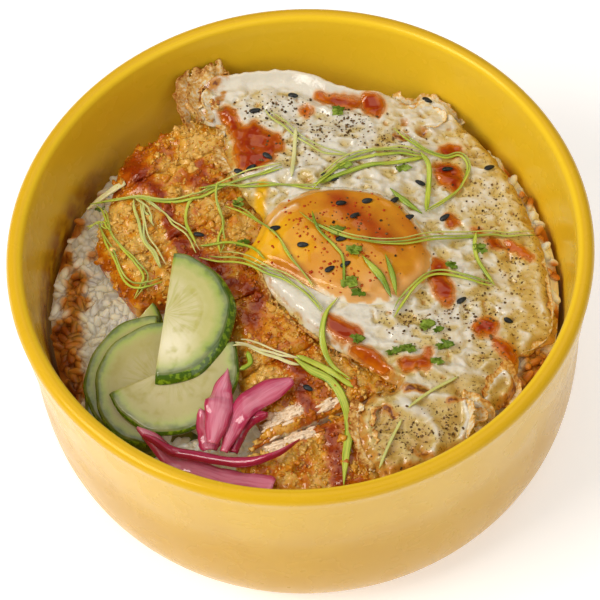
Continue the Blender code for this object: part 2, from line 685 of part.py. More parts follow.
def drop(name, centre, half, turn, trees, surface, collection):
    """A thick drop of sauce as a low cushion over an oval."""
    angle = math.radians(turn)
    outline = []
    for i in range(8):
        a = 2 * math.pi * i / 8
        swell = 1 + 0.12 * math.sin(2.0 * a + turn)
        local = Vector((half[0] * math.cos(a), half[1] * math.sin(a))) * swell
        outline.append(Vector(centre) + Matrix.Rotation(angle, 2) @ local)
    lowest = top_under(*centre, trees) - 1.5

    def ground(p):
        return max(top_under(p.x, p.y, trees), lowest)

    slab(
        name, outline, 60.0,
        lambda p, d: ground(p) - 0.8,
        lambda p, d: ground(p) + 0.25 + SAUCE_THICKNESS * smooth_step(0.0, 2.0, d),
        surface, collection, rings=(min(half) * 0.5,),
    )


def seed(name, spot, turn, trees, surface, collection):
    """A sesame seed lying on a surface."""
    centre = Vector((*spot, top_under(*spot, trees) + 0.25))
    spin = Matrix.Rotation(math.radians(turn), 4, "Z")
    pip(name, centre, spin, (SESAME_LENGTH, SESAME_WIDTH, SESAME_THICKNESS), surface, collection)


def leaf(name, spot, turn, trees, surface, collection):
    """A small cut leaf, thin and a little wavy."""
    spin = Matrix.Rotation(math.radians(turn), 2)
    half = HERB_LENGTH / 2
    corners = ((half, 0), (0.3 * half, 0.45 * half), (-0.6 * half, 0.35 * half), (-half, 0), (0, -0.5 * half))
    outline = [Vector(spot) + spin @ Vector(c) for c in corners]
    base = top_under(*spot, trees)
    slab(
        name, outline, 60.0,
        lambda p, d: max(top_under(p.x, p.y, trees), base - 0.8) - 0.5,
        lambda p, d: max(top_under(p.x, p.y, trees), base) + 0.5,
        surface, collection,
    )


# Cucumber


def build_cucumbers(collection):
    """Half slices in a fan, one resting on the next, and one that leans on the cutlet behind them."""
    surface = material("Cucumber", "C9D49A", 0.3)
    result = []
    for name, centre, level, facing, radius in CUCUMBERS:
        centre = Vector(centre)
        outline = []
        for i in range(13):
            angle = math.radians(facing - 90 + 180 * i / 12)
            outline.append(centre + radius * Vector((math.cos(angle), math.sin(angle))))
        plane = (CUCUMBER_BASE + CUCUMBER_STEP * level, *CUCUMBER_TILT)
        if level < 0:
            plane = CUCUMBER_REAR_PLANE

        def under(p, d, plane=plane):
            return plane[0] + plane[1] * p.x + plane[2] * p.y

        def over(p, d, under=under):
            return under(p, d) + CUCUMBER_THICKNESS

        result.append(slab(name, outline, 12.0, under, over, surface, collection))
    return result


# Strips


def strip(name, path, width, thickness, arch, surface, collection):
    """A flat strip along a path of points, narrower at both ends and arched across by a given rise."""
    shape = bmesh.new()
    rings = []
    last = len(path) - 1
    for i, point in enumerate(path):
        ahead = (path[min(i + 1, last)] - path[max(i - 1, 0)]).normalized()
        across = Vector((-ahead.y, ahead.x, 0)).normalized()
        up = ahead.cross(across).normalized()
        if up.z < 0:
            up = -up
        share = i / last
        half = width / 2 * (0.35 + 0.65 * min(1.0, 5 * share, 5 * (1 - share)))
        lift = up * thickness / 2
        crown = up * arch
        line = [across * half, crown, -across * half] if arch else [across * half, -across * half]
        corners = [c - lift for c in line] + [c + lift for c in reversed(line)]
        rings.append([shape.verts.new((point + c) * MM) for c in corners])
    for near, far in zip(rings, rings[1:]):
        for k in range(len(near)):
            j = (k + 1) % len(near)
            shape.faces.new((near[k], near[j], far[j], far[k]))
    shape.faces.new(rings[0])
    shape.faces.new(list(reversed(rings[-1])))
    bmesh.ops.triangulate(shape, faces=shape.faces[:])
    bmesh.ops.recalc_face_normals(shape, faces=shape.faces[:])
    mesh = bpy.data.meshes.new(name)
    shape.to_mesh(mesh)
    shape.free()
    return new_object(name, mesh, surface, collection)


def laid_path(points, width, spacing, clearance, slope, trees):
    """A path over what lies below: its height clears every surface under its width."""
    fine = open_curve(points, 0.8)
    needed = []
    for i, point in enumerate(fine):
        ahead = (fine[min(i + 1, len(fine) - 1)] - fine[max(i - 1, 0)]).normalized()
        across = Vector((-ahead.y, ahead.x)).normalized() * (width / 2 + 0.3)
        spots = [point.xy + s * across for s in (-1, -0.5, 0, 0.5, 1)]
        heights = [top_under(*spot, trees) for spot in spots]
        lowest = point.z if len(point) == 3 else 0.0
        needed.append(max(max(heights) + clearance, lowest))
    coarse = open_curve(points, spacing)
    owner = [min(range(len(coarse)), key=lambda k: (coarse[k].xy - p.xy).length) for p in fine]
    result = []
    for k in range(len(coarse)):
        near = [h for h, o in zip(needed, owner) if abs(o - k) <= 1]
        result.append(max(near))
    for k in range(1, len(coarse)):
        step = (coarse[k].xy - coarse[k - 1].xy).length
        result[k] = max(result[k], result[k - 1] - slope * step)
    for k in range(len(coarse) - 2, -1, -1):
        step = (coarse[k].xy - coarse[k + 1].xy).length
        result[k] = max(result[k], result[k + 1] - slope * step)
    return [Vector((p.x, p.y, z)) for p, z in zip(coarse, result)]


def build_onions(supports, collection):
    """Pickled onion strips, each laid over those before it."""
    surface = material("Pickled onion", "C9557F", 0.3)
    trees = [tree_of(item) for item in supports]
    result = []
    for name, width, thickness, points in ONIONS:
        path = laid_path(points, width, ONION_SEGMENT, 0.4 + thickness / 2, 1.2, trees)
        result.append(strip(name, path, width, thickness, ONION_ARCH, surface, collection))
        trees.append(tree_of(result[-1]))
    return result


def build_shreds(supports, collection):
    """Scallion shreds, each laid over the food and the shreds before it."""
    surface = material("Scallion", "9DBB3A", 0.4)
    trees = [tree_of(item) for item in supports]
    result = []
    for name, width, points in SHREDS:
        clearance = SHRED_CLEARANCE + SHRED_THICKNESS / 2
        path = laid_path(points, width, SHRED_SEGMENT, clearance, SHRED_SLOPE, trees)
        result.append(strip(name, path, width, SHRED_THICKNESS, 0, surface, collection))
        trees.append(tree_of(result[-1]))
    return result


YOLK_CURVE = closed_curve(YOLK_OUTLINE, 7.0)


def main():
    """Removes what the scene holds and builds the filled bowl."""
    for item in list(bpy.data.objects):
        bpy.data.objects.remove(item)
    collection = bpy.data.collections.new("Katsudon")
    bpy.context.scene.collection.children.link(collection)
    bowl = build_bowl(collection)
    rice = build_rice_core(collection)
    strips = build_cutlet(collection)
    white = build_white(collection)
    yolk = build_yolk(collection)
    add_toppings(white, SAUCE_DROPS, SESAME_ON_WHITE, HERBS_ON_WHITE, collection)
    add_toppings(yolk, (), SESAME_ON_YOLK, (), collection)
    add_cutlet_toppings(strips, collection)
    cucumbers = build_cucumbers(collection)
    onions = build_onions([rice] + strips + cucumbers + [white], collection)
    food = strips + [white, yolk] + cucumbers + onions
    shreds = build_shreds([rice] + food, collection)
    add_grains(rice, food + shreds, collection)
    for item in [bowl, rice, white, yolk] + strips + cucumbers + onions + shreds:
        item.data.set_sharp_from_angle(angle=math.radians(35))


main()
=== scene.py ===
"""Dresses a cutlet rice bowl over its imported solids: glaze, grains, fried crumb, egg and garnishes.

Sizes and places are in millimetres and become metres where a mesh is made.
"""
import logging
import math
import random
from dataclasses import dataclass, replace
from enum import Enum
from typing import Sequence

import bpy
import numpy as np
from mathutils import Euler, Matrix, Vector, noise
from mathutils.bvhtree import BVHTree
from mathutils.geometry import delaunay_2d_cdt


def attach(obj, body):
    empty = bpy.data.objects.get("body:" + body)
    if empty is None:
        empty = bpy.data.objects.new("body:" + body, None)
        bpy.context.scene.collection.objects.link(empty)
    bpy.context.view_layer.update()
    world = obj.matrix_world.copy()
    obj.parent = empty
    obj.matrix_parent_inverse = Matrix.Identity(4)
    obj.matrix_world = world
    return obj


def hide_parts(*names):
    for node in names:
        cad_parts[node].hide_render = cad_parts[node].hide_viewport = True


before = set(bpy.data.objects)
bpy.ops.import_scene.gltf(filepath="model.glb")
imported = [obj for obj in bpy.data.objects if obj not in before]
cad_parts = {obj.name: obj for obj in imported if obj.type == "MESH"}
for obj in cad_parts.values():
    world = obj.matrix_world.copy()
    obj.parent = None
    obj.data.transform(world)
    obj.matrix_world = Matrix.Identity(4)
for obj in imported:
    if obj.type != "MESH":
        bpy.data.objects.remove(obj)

LOG = logging.getLogger("katsudon")
MM = 0.001
FULL_TURN = 2 * math.pi
Array = np.ndarray
Marks = dict[str, Array]
Piece = bpy.types.Object
Pieces = list[bpy.types.Object]
Socket = bpy.types.NodeSocket
Source = bpy.types.NodeSocket | float | str
Spots = Sequence[tuple[float, float]]


# Plan curves and height fields


def linear(hex_code: str) -> tuple[float, float, float, float]:
    """Turns an sRGB hex code into linear colour.

    Args:
        hex_code: six hex digits.

    Returns:
        Linear red, green and blue, and an alpha of 1.
    """
    channels = [int(hex_code[i:i + 2], 16) / 255 for i in (0, 2, 4)]
    red, green, blue = (c / 12.92 if c <= 0.04045 else ((c + 0.055) / 1.055) ** 2.4 for c in channels)
    return (red, green, blue, 1.0)


def smooth_step(low: float, high: float, value: Array) -> Array:
    """A smooth rise from 0 at low to 1 at high, or a fall where high is below low."""
    share = np.clip((np.asarray(value, float) - low) / (high - low), 0, 1)
    return share * share * (3 - 2 * share)


def lumps(spots: Array, size: float, seed: float) -> Array:
    """Smooth noise over plan or space points.

    Args:
        spots: points, two or three numbers each.
        size: size of one lump.
        seed: picks the pattern.

    Returns:
        A value from about -1 to 1 for each point.
    """
    depth = spots[:, 2] / size + seed if spots.shape[1] == 3 else np.full(len(spots), seed)
    scaled = np.column_stack((spots[:, :2] / size, depth))
    return np.array([noise.noise(p) for p in scaled.tolist()])


def cells(spots: Array, size: float, seed: float) -> Array:
    """Packed rounded cells: 0 at the middle of each, rising to about 1 between them."""
    scaled = np.column_stack((spots[:, :2] / size, np.full(len(spots), seed)))
    return np.array([noise.voronoi(p)[0][0] for p in scaled.tolist()])


def wander(spots: Array, reach: float, size: float, seeds: tuple[float, float]) -> Array:
    """Plan points moved about by noise, so that what is drawn over them wavers."""
    return spots[:, :2] + reach * np.column_stack([lumps(spots, size, seed) for seed in seeds])


def curve(points: Sequence[Sequence[float]], spacing: float, closed: bool) -> Array:
    """A smooth line through points.

    Args:
        points: what it passes through.
        spacing: rough distance between the points returned.
        closed: whether it comes back to its start, anticlockwise.

    Returns:
        The line's points.
    """
    given = np.array(points, float)
    if closed:
        ends = np.vstack((given[-1:], given, given[:2]))
    else:
        ends = np.vstack((2 * given[0] - given[1], given, 2 * given[-1] - given[-2]))
    result = []
    for p0, p1, p2, p3 in zip(ends, ends[1:], ends[2:], ends[3:]):
        pieces = max(1, round(float(np.linalg.norm(p2 - p1)) / spacing))
        for t in np.arange(pieces) / pieces:
            bend = (2 * p0 - 5 * p1 + 4 * p2 - p3) * t ** 2 + (3 * p1 - p0 - 3 * p2 + p3) * t ** 3
            result.append(0.5 * (2 * p1 + (p2 - p0) * t + bend))
    if not closed:
        return np.array(result + [given[-1]])
    line = np.array(result)
    after = np.roll(line, -1, axis=0)
    turned = float(((after[:, 0] - line[:, 0]) * (after[:, 1] + line[:, 1])).sum())
    return line[::-1] if turned > 0 else line


def ways(line: Array, closed: bool) -> tuple[Array, Array]:
    """The ways ahead and to the right at each point of a plan line.

    Args:
        line: its points.
        closed: whether it comes back to its start.

    Returns:
        Unit vectors ahead, and to the right, which is outwards round an outline.
    """
    ahead = np.roll(line, -1, axis=0) - np.roll(line, 1, axis=0) if closed else np.gradient(line, axis=0)
    ahead = ahead / np.maximum(np.hypot(ahead[:, 0], ahead[:, 1]), 1e-9)[:, None]
    return ahead, np.column_stack((ahead[:, 1], -ahead[:, 0]))


def line_distance(spots: Array, line: Array) -> Array:
    """Distance from plan points to an open line.

    Args:
        spots: the points.
        line: the line's points.

    Returns:
        One distance a point.
    """
    best = np.full(len(spots), np.inf)
    for a, b in zip(line[:, :2], line[1:, :2]):
        side = b - a
        share = np.clip((spots[:, :2] - a) @ side / max(float(side @ side), 1e-9), 0, 1)
        gap = spots[:, :2] - a - share[:, None] * side
        best = np.minimum(best, np.hypot(gap[:, 0], gap[:, 1]))
    return best


def edge_distance(spots: Array, outline: Array) -> Array:
    """How far plan points are inside a closed outline.

    Args:
        spots: the points.
        outline: the outline's corners.

    Returns:
        One distance a point, negative outside.
    """
    inside = np.zeros(len(spots), bool)
    for a, b in zip(outline, np.roll(outline, -1, axis=0)):
        if a[1] != b[1]:
            spans = (a[1] > spots[:, 1]) != (b[1] > spots[:, 1])
            left = spots[:, 0] < (b[0] - a[0]) * (spots[:, 1] - a[1]) / (b[1] - a[1]) + a[0]
            inside ^= spans & left
    away = line_distance(spots, np.vstack((outline, outline[:1])))
    return np.where(inside, away, -away)


def clip(outline: Array, normal: Array, offset: float) -> Array:
    """Cuts an outline with a straight line.

    Args:
        outline: the outline's corners.
        normal: direction of the side that is kept.
        offset: distance of the line along the normal.

    Returns:
        The corners of what is kept.
    """
    result = []
    heights = outline @ normal - offset
    for i, corner in enumerate(outline):
        j = (i + 1) % len(outline)
        if heights[i] >= 0:
            result.append(corner)
        if heights[i] * heights[j] < 0:
            result.append(corner + (outline[j] - corner) * heights[i] / (heights[i] - heights[j]))
    return np.array(result)


def even(outline: Array, spacing: float) -> Array:
    """Spaces an outline's corners evenly along its sides.

    Args:
        outline: the outline's corners.
        spacing: rough distance between the corners returned.

    Returns:
        The new corners.
    """
    closed = np.vstack((outline, outline[:1]))
    total = np.concatenate(([0.0], np.cumsum(np.hypot(*np.diff(closed, axis=0).T))))
    stops = np.linspace(0, total[-1], max(8, round(total[-1] / spacing)), endpoint=False)
    return np.column_stack([np.interp(stops, total, closed[:, k]) for k in (0, 1)])


def ragged(outline: Array, reach: float | Array, size: float, seed: float) -> Array:
    """Moves an outline's corners in and out by noise, by at most reach, one for all or one a corner."""
    return outline + ways(outline, True)[1] * (reach * lumps(outline, size, seed))[:, None]


@dataclass
class Fold:
    """A ridge along a line, or a bump at one point: its points, half width and height, below 0 for a
    groove. The same form says how strong a tint is along a line."""

    line: Spots
    width: float
    height: float

    def raise_at(self, spots: Array) -> Array:
        """What the fold adds at plan spots."""
        path = curve(self.line, 1.5, False) if len(self.line) > 1 else np.array([self.line[0]] * 2, float)
        return self.height * np.exp(-(line_distance(spots, path) / self.width) ** 2)


def highest(folds: Sequence[Fold], spots: Array) -> Array:
    """The most that any one of the folds adds at plan spots."""
    return np.max([fold.raise_at(spots) for fold in folds], axis=0)


def heaped(folds: Sequence[Fold], spots: Array) -> Array:
    """What the folds add together at plan spots."""
    return sum(fold.raise_at(spots) for fold in folds)


# Meshes


def put(name: str, data: bpy.types.ID) -> Piece:
    """Puts an object in the scene, with its mesh, light or camera.

    Args:
        name: the object's name.
        data: what it holds.

    Returns:
        The object.
    """
    piece = bpy.data.objects.new(name, data)
    bpy.context.scene.collection.objects.link(piece)
    return piece


def make_object(name: str, corners: Array, faces: list, marks: Marks | None = None,
                smooth: bool = True) -> Piece:
    """Makes a mesh object.

    Args:
        name: the object's name.
        corners: its corners in millimetres.
        faces: corner numbers of each face.
        marks: named values, one a corner, that the materials read.
        smooth: whether its faces are shaded smooth.

    Returns:
        The object, linked to the scene.
    """
    mesh = bpy.data.meshes.new(name)
    mesh.from_pydata((corners * MM).tolist(), [], faces)
    mesh.polygons.foreach_set("use_smooth", np.full(len(mesh.polygons), smooth))
    for mark, values in (marks or {}).items():
        layer = mesh.attributes.new(mark, "FLOAT", "POINT")
        layer.data.foreach_set("value", np.asarray(values, np.float32))
    mesh.update()
    return put(name, mesh)


def thicken(sheet: Piece, thickness: float) -> None:
    """Gives a sheet its thickness."""
    sheet.modifiers.new("Thickness", "SOLIDIFY").thickness = thickness * MM


def quads(grid: Array) -> Array:
    """The corner numbers of each face between the rows and columns of a grid of corner numbers."""
    return np.stack((grid[:-1, :-1], grid[:-1, 1:], grid[1:, 1:], grid[1:, :-1]), -1).reshape(-1, 4)


@dataclass
class Plan:
    """A plan outline filled with small triangles."""

    spots: Array
    faces: list[tuple[int, ...]]
    depth: Array
    rim: Array

    @classmethod
    def fill(cls, outline: Array, spacing: float) -> "Plan":
        """Fills an outline.

        Args:
            outline: its corners, anticlockwise.
            spacing: distance between the inner points.

        Returns:
            The filled plan.
        """
        low, high = outline.min(axis=0), outline.max(axis=0)
        rows = np.arange(low[1], high[1], spacing * math.sqrt(3) / 2)
        grid = np.array([(x + (i % 2) * spacing / 2, y) for i, y in enumerate(rows)
                         for x in np.arange(low[0], high[0], spacing)])
        grid = grid[edge_distance(grid, outline) > 0.5 * spacing]
        points = [Vector(p) for p in np.vstack((outline, grid)).tolist()]
        spots, _, faces, _, _, _ = delaunay_2d_cdt(points, [], [list(range(len(outline)))], 1, 1e-6)
        spots = np.array([tuple(p) for p in spots])
        ahead = {side: True for face in faces for side in zip(face, face[1:] + face[:1])}
        loose = {a: b for a, b in ahead if (b, a) not in ahead}
        start = next(iter(loose))
        rim = [start]
        while loose[rim[-1]] != start:
            rim.append(loose[rim[-1]])
        depth = np.maximum(edge_distance(spots, outline), 0)
        return cls(spots, [tuple(f) for f in faces], depth, np.array(rim))

    def solid(self, name: str, floor: Array, roof: Array, marks: Marks | None = None,
              rows: int = 1, bulge: float = 0.0, rough: float = 0.0) -> Piece:
        """Closes the plan between two heights.

        Args:
            name: the object's name.
            floor: height of the underside at each spot.
            roof: height of the top at each spot.
            marks: named values at each spot.
            rows: rows of faces up the wall.
            bulge: how far the wall swells out at half height.
            rough: reach of the wall's bumps.

        Returns:
            The object. Its mark "drop" runs from 0 on top to 1 underneath.
        """
        count, rim = len(self.spots), self.rim
        top = np.column_stack((self.spots, roof))
        bottom = np.column_stack((self.spots, floor))
        out = ways(self.spots[rim], True)[1]
        rings = []
        for k in range(1, rows):
            share = k / rows
            ring = top[rim] * (1 - share) + bottom[rim] * share
            push = bulge * math.sin(math.pi * share) + rough * lumps(ring, 1.7, 4.0)
            ring[:, :2] += out * push[:, None]
            rings.append(ring)
        faces = list(self.faces) + [tuple(i + count for i in reversed(f)) for f in self.faces]
        rest = [2 * count + k * len(rim) + np.arange(len(rim)) for k in range(rows - 1)]
        levels = [rim, *rest, rim + count]
        for high, low in zip(levels, levels[1:]):
            faces += np.column_stack((high, low, np.roll(low, -1), np.roll(high, -1))).tolist()
        full = {mark: np.concatenate((v, v, *([v[rim]] * (rows - 1)))) for mark, v in (marks or {}).items()}
        shares = [np.full(len(rim), k / rows) for k in range(1, rows)]
        full["drop"] = np.concatenate((np.zeros(count), np.ones(count), *shares))
        return make_object(name, np.vstack((top, bottom, *rings)), faces, full)


@dataclass
class Shape:
    """A small shape that is scattered: its corners and triangles."""

    corners: Array
    faces: Array

    @classmethod
    def grain(cls, length: float, width: float, thickness: float, power: float,
              rings: int, sides: int, bend: float = 0.0, narrow: float = 0.0) -> "Shape":
        """A rounded oblong, as a rice grain or a seed.

        Args:
            length: from tip to tip.
            width: across.
            thickness: upright.
            power: bluntness of the ends; 2 is an ellipsoid.
            rings: rows of corners between the tips.
            sides: corners round.
            bend: how far the middle lies above the tips.
            narrow: how much narrower one end is, 0 to 1.

        Returns:
            The shape, along X.
        """
        corners = [(-length / 2, 0.0, -bend)]
        for i in range(rings):
            x = -math.cos(math.pi * (i + 0.75) / (rings + 0.5))
            size = (1 - abs(x) ** power) ** 0.5 * (1 - narrow * (x + 1) / 2)
            for k in range(sides):
                a = FULL_TURN * k / sides
                y = width / 2 * size * math.cos(a)
                corners.append((x * length / 2, y, thickness / 2 * size * math.sin(a) - bend * x * x))
        corners.append((length / 2, 0.0, -bend))
        faces = []
        last, end = len(corners) - 1, 1 + (rings - 1) * sides
        for k in range(sides):
            j = (k + 1) % sides
            faces.append((0, 1 + j, 1 + k))
            for a in range(1, end, sides):
                b = a + sides
                faces += [(a + k, a + j, b + j), (a + k, b + j, b + k)]
            faces.append((last, end + k, end + j))
        return cls(np.array(corners), np.array(faces))

    @classmethod
    def shard(cls, seed: int, rough: float, splits: int = 0) -> "Shape":
        """An angular crumb about 1 mm across: an icosahedron, made uneven.

        Args:
            seed: picks its form.
            rough: how uneven it is.
            splits: how often each face is divided in four.

        Returns:
            The shape.
        """
        corners = [np.array((0.0, 0.0, 0.5))]
        for height, start in ((0.22, 0.0), (-0.22, math.pi / 5)):
            corners += [np.array((0.45 * math.cos(start + a), 0.45 * math.sin(start + a), height))
                        for a in np.arange(5) * FULL_TURN / 5]
        corners.append(np.array((0.0, 0.0, -0.5)))
        faces = []
        for k in range(5):
            j = (k + 1) % 5
            faces += [(0, 1 + k, 1 + j), (1 + k, 6 + k, 1 + j), (1 + j, 6 + k, 6 + j), (11, 6 + j, 6 + k)]
        for _ in range(splits):
            middles, finer = {}, []
            for face in faces:
                half = []
                for side in zip(face, face[1:] + face[:1]):
                    side = tuple(sorted(side))
                    if side not in middles:
                        middles[side] = len(corners)
                        middle = corners[side[0]] + corners[side[1]]
                        corners.append(0.5 * middle / np.linalg.norm(middle))
                    half.append(middles[side])
                finer += [(face[0], half[0], half[2]), (half[0], face[1], half[1]),
                          (half[2], half[1], face[2]), tuple(half)]
            faces = finer
        spots = np.array(corners)
        swell = 1 + rough * lumps(spots, 0.37, seed * 3.7) + 0.4 * rough * lumps(spots, 0.15, seed * 1.3)
        return cls(spots * swell[:, None], np.array(faces))

    def scatter(self, name: str, turns: list[Array], centres: list, marks: Marks,
                smooth: bool = True) -> Piece:
        """Joins copies of the shape in one mesh.

        Args:
            name: the object's name.
            turns: a turning and stretching matrix a copy.
            centres: the middle of each copy.
            marks: named values, one a copy.
            smooth: whether their faces are shaded smooth.

        Returns:
            The object.
        """
        size = len(self.corners)
        corners = np.einsum("nij,kj->nki", np.array(turns), self.corners) + np.array(centres)[:, None]
        starts = np.arange(len(centres)) * size
        faces = (self.faces[None] + starts[:, None, None]).reshape(-1, 3)
        spread = {mark: np.repeat(values, size) for mark, values in marks.items()}
        return make_object(name, corners.reshape(-1, 3), faces.tolist(), spread, smooth)


def turn(heading: float, pitch: float = 0.0, roll: float = 0.0, size: Sequence[float] = (1, 1, 1)) -> Array:
    """A 3 by 3 matrix that stretches a shape, rolls it about X, pitches it about Y and heads it about Z."""
    return np.array(Euler((roll, pitch, heading)).to_matrix()) @ np.diag(size)


class Ground:
    """The surfaces that toppings lie on."""

    high: float = 0.12
    sight: float = 0.022
    slants: tuple = ((0, 0), (0.6, 0), (-0.6, 0), (0, 0.6), (0, -0.6), (0, -1.0), (-0.9, -0.4))

    def __init__(self, *pieces: Piece) -> None:
        """Starts with the pieces that can be lain on.

        Args:
            pieces: what can be lain on.
        """
        self.trees: list[BVHTree] = []
        for piece in pieces:
            self.add(piece)

    def add(self, piece: Piece) -> None:
        """Adds a piece's mesh, as it stands."""
        polygons = [tuple(p.vertices) for p in piece.data.polygons]
        self.trees.append(BVHTree.FromPolygons([v.co for v in piece.data.vertices], polygons))

    def height(self, x: float, y: float, lowest: float = 0.0) -> float:
        """Height of the highest surface at a plan spot.

        Args:
            x: the spot.
            y: the spot.
            lowest: what is returned where nothing lies higher.

        Returns:
            The height in millimetres.
        """
        start = Vector((x * MM, y * MM, self.high))
        hits = [tree.ray_cast(start, Vector((0, 0, -1)))[0] for tree in self.trees]
        return max([lowest] + [hit.z / MM for hit in hits if hit is not None])

    def heights(self, spots: Array) -> Array:
        """The height at each of several plan spots."""
        return np.array([self.height(x, y) for x, y in spots[:, :2].tolist()])

    def open_above(self, x: float, y: float, z: float) -> bool:
        """Whether a point can be seen from above or from some slant.

        Args:
            x: the point, in millimetres.
            y: the same.
            z: the same.

        Returns:
            Whether some way up is free.
        """
        start = Vector((x, y, z)) * MM
        for dx, dy in self.slants:
            way = Vector((dx, dy, 1)).normalized()
            if all(tree.ray_cast(start, way, self.sight)[0] is None for tree in self.trees):
                return True
        return False


# Finishes


class Paint:
    """One material as it is put together: its nodes, its shader and the colour so far."""

    def __init__(self, name: str) -> None:
        """Starts a material under a name.

        Args:
            name: the material's name.
        """
        self.material = bpy.data.materials.new(name)
        self.material.use_nodes = True
        self.tree = self.material.node_tree
        self.shader = self.tree.nodes["Principled BSDF"]
        self.colour: Socket | Sequence[float] = (1, 1, 1, 1)

    def add(self, kind: str, inputs: dict, output: int | str = 0, **settings: object) -> Socket:
        """Adds a node with its settings and links.

        Args:
            kind: the node's type, after "ShaderNode".
            inputs: for each input a value, a socket or the name of a mark that the mesh carries.
            output: which of its outputs is wanted.
            settings: its properties; "stops" sets a colour ramp's places and colours.

        Returns:
            The output.
        """
        node = self.tree.nodes.new("ShaderNode" + kind)
        stops = settings.pop("stops", ())
        while stops and len(node.color_ramp.elements) < len(stops):
            node.color_ramp.elements.new(0.5)
        for element, (place, colour) in zip(node.color_ramp.elements if stops else (), stops):
            element.position, element.color = place, linear(colour)
        for name, value in settings.items():
            setattr(node, name, value)
        for name, value in inputs.items():
            if isinstance(value, str):
                value = self.add("Attribute", {}, "Fac", attribute_name=value)
            if isinstance(value, Socket):
                self.tree.links.new(value, node.inputs[name])
            else:
                node.inputs[name].default_value = value
        return node.outputs[output]

    def fix(self, **values: object) -> None:
        """Sets numbers and colours on the shader itself; a space in a socket's name is an underscore here."""
        for name, value in values.items():
            self.shader.inputs[name.replace("_", " ")].default_value = value

    def link(self, name: str, value: Socket) -> None:
        """Links a pattern to one of the shader's inputs."""
        self.tree.links.new(value, self.shader.inputs[name])

    def ease(self, value: Source, low: float, high: float, to_low: float = 0.0,
             to_high: float = 1.0) -> Socket:
        """Maps a value or a mark from one range to another, smooth at both ends."""
        inputs = {0: value, 1: low, 2: high, 3: to_low, 4: to_high}
        return self.add("MapRange", inputs, interpolation_type="SMOOTHSTEP")

    def grit(self, size_mm: float, detail: float, *span: float) -> Socket:
        """Noise whose lumps have a real size.

        Args:
            size_mm: size of one lump.
            detail: how much finer noise is added.
            span: the range to map it from, and the range to map it to; left as it is without one.

        Returns:
            The noise.
        """
        inputs = {"Vector": self.add("TexCoord", {}, "Object"), "Scale": 1 / (size_mm * MM), "Detail": detail}
        pattern = self.add("TexNoise", inputs)
        return self.ease(pattern, *span) if span else pattern

    def streaks(self, first: Source, second: Source, scale: float, detail: float) -> Socket:
        """Noise over two marks in place of a real position, such as veins that follow a strip."""
        place = self.add("CombineXYZ", {0: first, 1: second})
        return self.add("TexNoise", {"Vector": place, "Scale": scale, "Detail": detail})

    def uneven(self, value: Source, *pattern: float) -> Socket:
        """A value or a mark made uneven by grit, and kept from 0 to 1."""
        return self.add("Math", {0: value, 1: self.grit(*pattern)}, operation="ADD", use_clamp=True)

    def where_all(self, *shares: Source) -> Socket:
        """Where several shares hold at once: their product.

        Args:
            shares: values or marks, each 0 to 1.

        Returns:
            The product.
        """
        result = shares[0]
        for share in shares[1:]:
            result = self.add("Math", {0: result, 1: share}, operation="MULTIPLY")
        return result

    def lay(self, share: Source, over: Socket | str, under: str | None = None) -> Socket:
        """Lays a colour over the colour so far, or over one that is given.

        Args:
            share: how much of it shows, a value or a mark.
            over: the colour, a socket or a hex code.
            under: a hex code to start afresh from.

        Returns:
            The mixed colour, which is the colour so far unless it started afresh.
        """
        inputs = {0: share, 6: linear(under) if under else self.colour,
                  7: linear(over) if isinstance(over, str) else over}
        mixed = self.add("Mix", inputs, 2, data_type="RGBA")
        if not under:
            self.colour = mixed
        return mixed

    def relief(self, height: Socket, depth_mm: float, strength: float, sparkle: bool = False) -> None:
        """Bumps the surface.

        Args:
            height: the pattern, 0 to 1.
            depth_mm: real depth of the pattern.
            strength: how far it tells, 0 to 1.
            sparkle: whether the coat follows it too.
        """
        bump = self.add("Bump", {"Height": height, "Distance": depth_mm * MM, "Strength": strength})
        self.link("Normal", bump)
        if sparkle:
            self.link("Coat Normal", bump)


@dataclass(frozen=True)
class Finish:
    """What every finish has: a name, a gloss, and light that sinks in. Sink is how much of it does, and
    sink_mm how deep its red, green and blue go; shine is how strong plain reflections are, and gleam
    their colour."""

    name: str
    roughness: float
    ior: float = 1.45
    coat: float = 0.0
    coat_roughness: float = 0.1
    sink: float = 0.0
    sink_mm: tuple[float, float, float] = (1.2, 0.8, 0.5)
    shine: float = 0.5
    gleam: str = "FFFFFF"

    def material(self) -> bpy.types.Material:
        """Makes the material, with its pattern from dress().

        Returns:
            The material.
        """
        paint = Paint(self.name)
        paint.fix(Roughness=self.roughness, IOR=self.ior, Coat_Weight=self.coat,
                  Coat_Roughness=self.coat_roughness, Specular_IOR_Level=self.shine,
                  Specular_Tint=linear(self.gleam))
        if self.sink:
            paint.fix(Subsurface_Weight=self.sink, Subsurface_Radius=self.sink_mm, Subsurface_Scale=MM)
        self.dress(paint)
        paint.link("Base Color", paint.colour)
        return paint.material

    def dress(self, paint: Paint) -> None:
        """Lays the finish's pattern. Each kind of finish has its own."""


